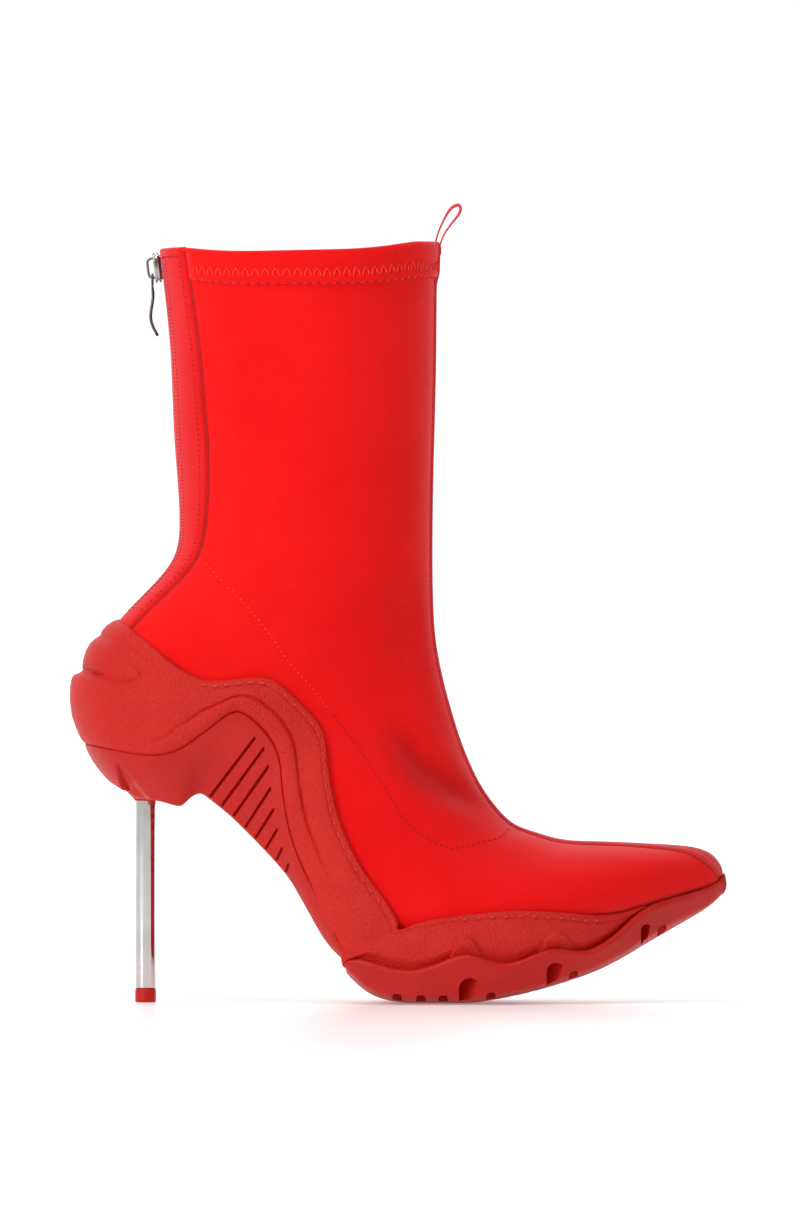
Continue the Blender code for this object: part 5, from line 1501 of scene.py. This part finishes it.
# %% The board inside
def make_board():
    """Slab along the bottom line: its half-width is that of the last less the wall, its top a little hollow."""
    path = SOCK[9:22, 2:4].copy()
    path[0, 1] = path[1, 1] + 1.0
    line = even_path(path, 90)
    run = unit(np.gradient(line, axis=0))
    up = np.stack([-run[:, 1], run[:, 0]], axis=1)
    v = np.linspace(-1, 1, 15)
    sheets = []
    for lift, side in ((7.5 - 0.8 * (1 - v ** 2), v), (np.full_like(v, 3.6), v[::-1])):
        spots = line[:, None] + lift[:, None] * up[:, None]
        half = np.maximum(sock_half(spots[..., 0], spots[..., 1]).min(axis=1) - 2.05, 0.3)
        sheets.append(np.stack([spots[..., 0], half[:, None] * side, spots[..., 1]], axis=-1))
    rings = with_swing(np.concatenate(sheets, axis=1))
    keep = np.flatnonzero(np.ptp(rings[..., 1], axis=1) > 6.0)
    rings = rings[keep[0]:keep[-1] + 1]
    add_rings("foot_board", rings, LINING, ("insole",), across=rings[..., 1], sharp=50.0)


make_board()

# %% [markdown]
# ## Moulded stitch marks
# A row of raised dashes runs in a shallow channel just inside the edge of the cup, as if it were sewn. They are
# rods of the same rubber, given a paler red as a painted highlight on their raised tops, sunk half way, placed
# along the cup's own grid at an even distance from its edge.

# %% Dashes on the cup
def edge_row(inside):
    """Run along the cup's wall at a distance below its upper edge: each column is followed down that far."""
    down = cup_wall[:, ::-1]
    run = np.cumsum(np.linalg.norm(np.diff(down, axis=1), axis=2), axis=1)
    k = np.minimum((run < inside).sum(axis=1), run.shape[1] - 1)
    column = np.arange(len(down))
    before = np.where(k > 0, run[column, k - 1], 0.0)
    part = ((inside - before) / (run[column, k] - before))[:, None]
    normal = unit(np.cross(np.gradient(down, axis=0), np.gradient(down, axis=1))[column, k])
    inward = (normal[:, 1:2] * down[column, k, 1:2]) < 0
    return down[column, k] * (1 - part) + down[column, k + 1] * part, np.where(inward, -normal, normal)


DASHES = [
    # from_x to_x pitch share_filled
    (-76.0, -47.0, 4.2, 0.7), (-45.5, -6.0, 4.6, 0.45), (18.0, 72.0, 5.0, 0.32),
]
edge_spots, edge_up = edge_row(CHANNEL)
for side, sign in (("outer", -1), ("inner", 1)):
    rods = []
    for low, high, pitch, fill in DASHES:
        keep = np.flatnonzero((edge_spots[:, 1] * sign > 0) & (edge_spots[:, 0] > low) & (edge_spots[:, 0] < high))
        run = gone(edge_spots[keep])
        at = np.arange(0.0, run[-1] - pitch, pitch)
        rods.append([np.stack([np.interp(way, run, source[keep, k]) for k in range(3)], axis=1)
                     for way, source in ((at, edge_spots), (at + fill * pitch, edge_spots), (at, edge_up))])
    starts, ends, ups = (np.concatenate(part) for part in zip(*rods))
    add_thread(f"moulded_dashes_{side}", starts, ends, ups, 0.42, DASH_HIGHLIGHT_RUBBER)

# %% [markdown]
# ## Floor, light and camera
# The photo is a plain studio shot: white paper, broad soft light, a long lens square to the outer side. The
# paper is a wide disc, flat under the boot, that glows a little more with distance, so no horizon shows.

# %% The studio
def make_floor():
    """Disc of paper, flat to 9 m, with a rim 2 cm high; its glow grows with the distance from the boot."""
    bend = np.linspace(0, math.pi / 2, 16)
    radius = np.concatenate([[0.0, 0.3, 1.0, 2.0, 4.0, 7.0], 9.0 + 3.0 * np.sin(bend)])
    height = np.concatenate([np.zeros(6), 0.02 * (1 - np.cos(bend))])
    turn = full_turn(96)
    points = np.stack([radius[:, None] * np.cos(turn), radius[:, None] * np.sin(turn),
                       np.repeat(height[:, None], 96, axis=1)], axis=-1)
    finish, shader = new_finish("white_paper", Roughness=0.3, Specular_IOR_Level=0.25,
                                Emission_Color=(1.0, 1.0, 1.0, 1.0))
    place = add_node(finish, "ShaderNodeTexCoord")
    reach = add_node(finish, "ShaderNodeVectorMath", operation="LENGTH")
    wire(finish, place.outputs["Object"], reach.inputs[0])
    glow = ranged(finish, reach.outputs["Value"], 0.22, 0.42, 0.2, 1.2)
    wire(finish, glow, shader.inputs["Emission Strength"])
    paper = mixed(finish, noise(finish, 9.0, 2.0), (0.86, 0.86, 0.865, 1), (0.88, 0.88, 0.885, 1))
    wire(finish, paper, shader.inputs["Base Color"])
    mesh = bpy.data.meshes.new("paper_floor")
    mesh.from_pydata(points.reshape(-1, 3).tolist(), [], ring_faces(*points.shape[:2])[:, ::-1].tolist())
    shape = bmesh.new()
    shape.from_mesh(mesh)
    bmesh.ops.remove_doubles(shape, verts=shape.verts, dist=MERGE)
    shape.to_mesh(mesh)
    shape.free()
    smooth(mesh, SHARP)
    mesh.materials.append(finish)
    put("paper_floor", mesh)


def add_light(name, place, aim, size, power):
    """Soft box: a rectangle of light turned toward a point."""
    data = bpy.data.lights.new(name, "AREA")
    data.shape = "RECTANGLE"
    data.size, data.size_y = size
    data.energy = power
    made = put(name, data)
    made.location = place
    gaze = np.array(aim, float) - np.array(place, float)
    made.rotation_euler = (math.atan2(math.hypot(gaze[0], gaze[1]), -gaze[2]), 0.0, math.atan2(-gaze[0], gaze[1]))
    made.visible_camera = False


make_floor()
add_light("soft_box_left", (-2.0, -1.9, 1.0), (-0.02, 0.0, 0.13), (1.1, 1.1), 28.0)
add_light("soft_box_right", (1.8, -1.6, 0.9), (0.0, 0.0, 0.1), (1.0, 1.0), 2.0)
add_light("soft_box_top", (-0.6, -0.9, 2.2), (0.0, 0.0, 0.1), (1.0, 1.0), 19.0)


def make_room():
    """Light by direction: a dim base, more from above, and white paper behind the boot."""
    world = bpy.data.worlds.new("studio")
    world.use_nodes = True
    place = add_node(world, "ShaderNodeTexCoord")
    split = add_node(world, "ShaderNodeSeparateXYZ")
    wire(world, place.outputs["Generated"], split.inputs["Vector"])
    behind = ranged(world, split.outputs["Y"], 0.22, 1.1, 0.2, 0.75, interpolation_type="SMOOTHSTEP")
    above = ranged(world, split.outputs["Z"], 0.0, 0.3, 0.1, 1.0)
    shade = world.node_tree.nodes["Background"]
    wire(world, added(world, behind, above, 1.0), shade.inputs["Strength"])
    shade.inputs["Color"].default_value = (1.0, 1.0, 1.0, 1.0)
    bpy.context.scene.world = world


make_room()
bpy.context.scene.view_settings.view_transform = "Standard"

# %% The camera
FRAME_HEIGHT = 0.435
DISTANCE = 6.0
SENSOR = 36.0
AIM_X = 0.00054
AIM_Z = 0.1431
camera_data = bpy.data.cameras.new("long_lens")
camera_data.sensor_width = SENSOR
camera_data.lens = SENSOR * DISTANCE / FRAME_HEIGHT
camera_data.clip_end = 100.0
camera = put("long_lens", camera_data)
camera.location = (AIM_X, -DISTANCE, AIM_Z)
camera.rotation_euler = (math.pi / 2, 0.0, 0.0)
bpy.context.scene.camera = camera
print(f"lens {camera_data.lens:.0f} mm at {DISTANCE} m")
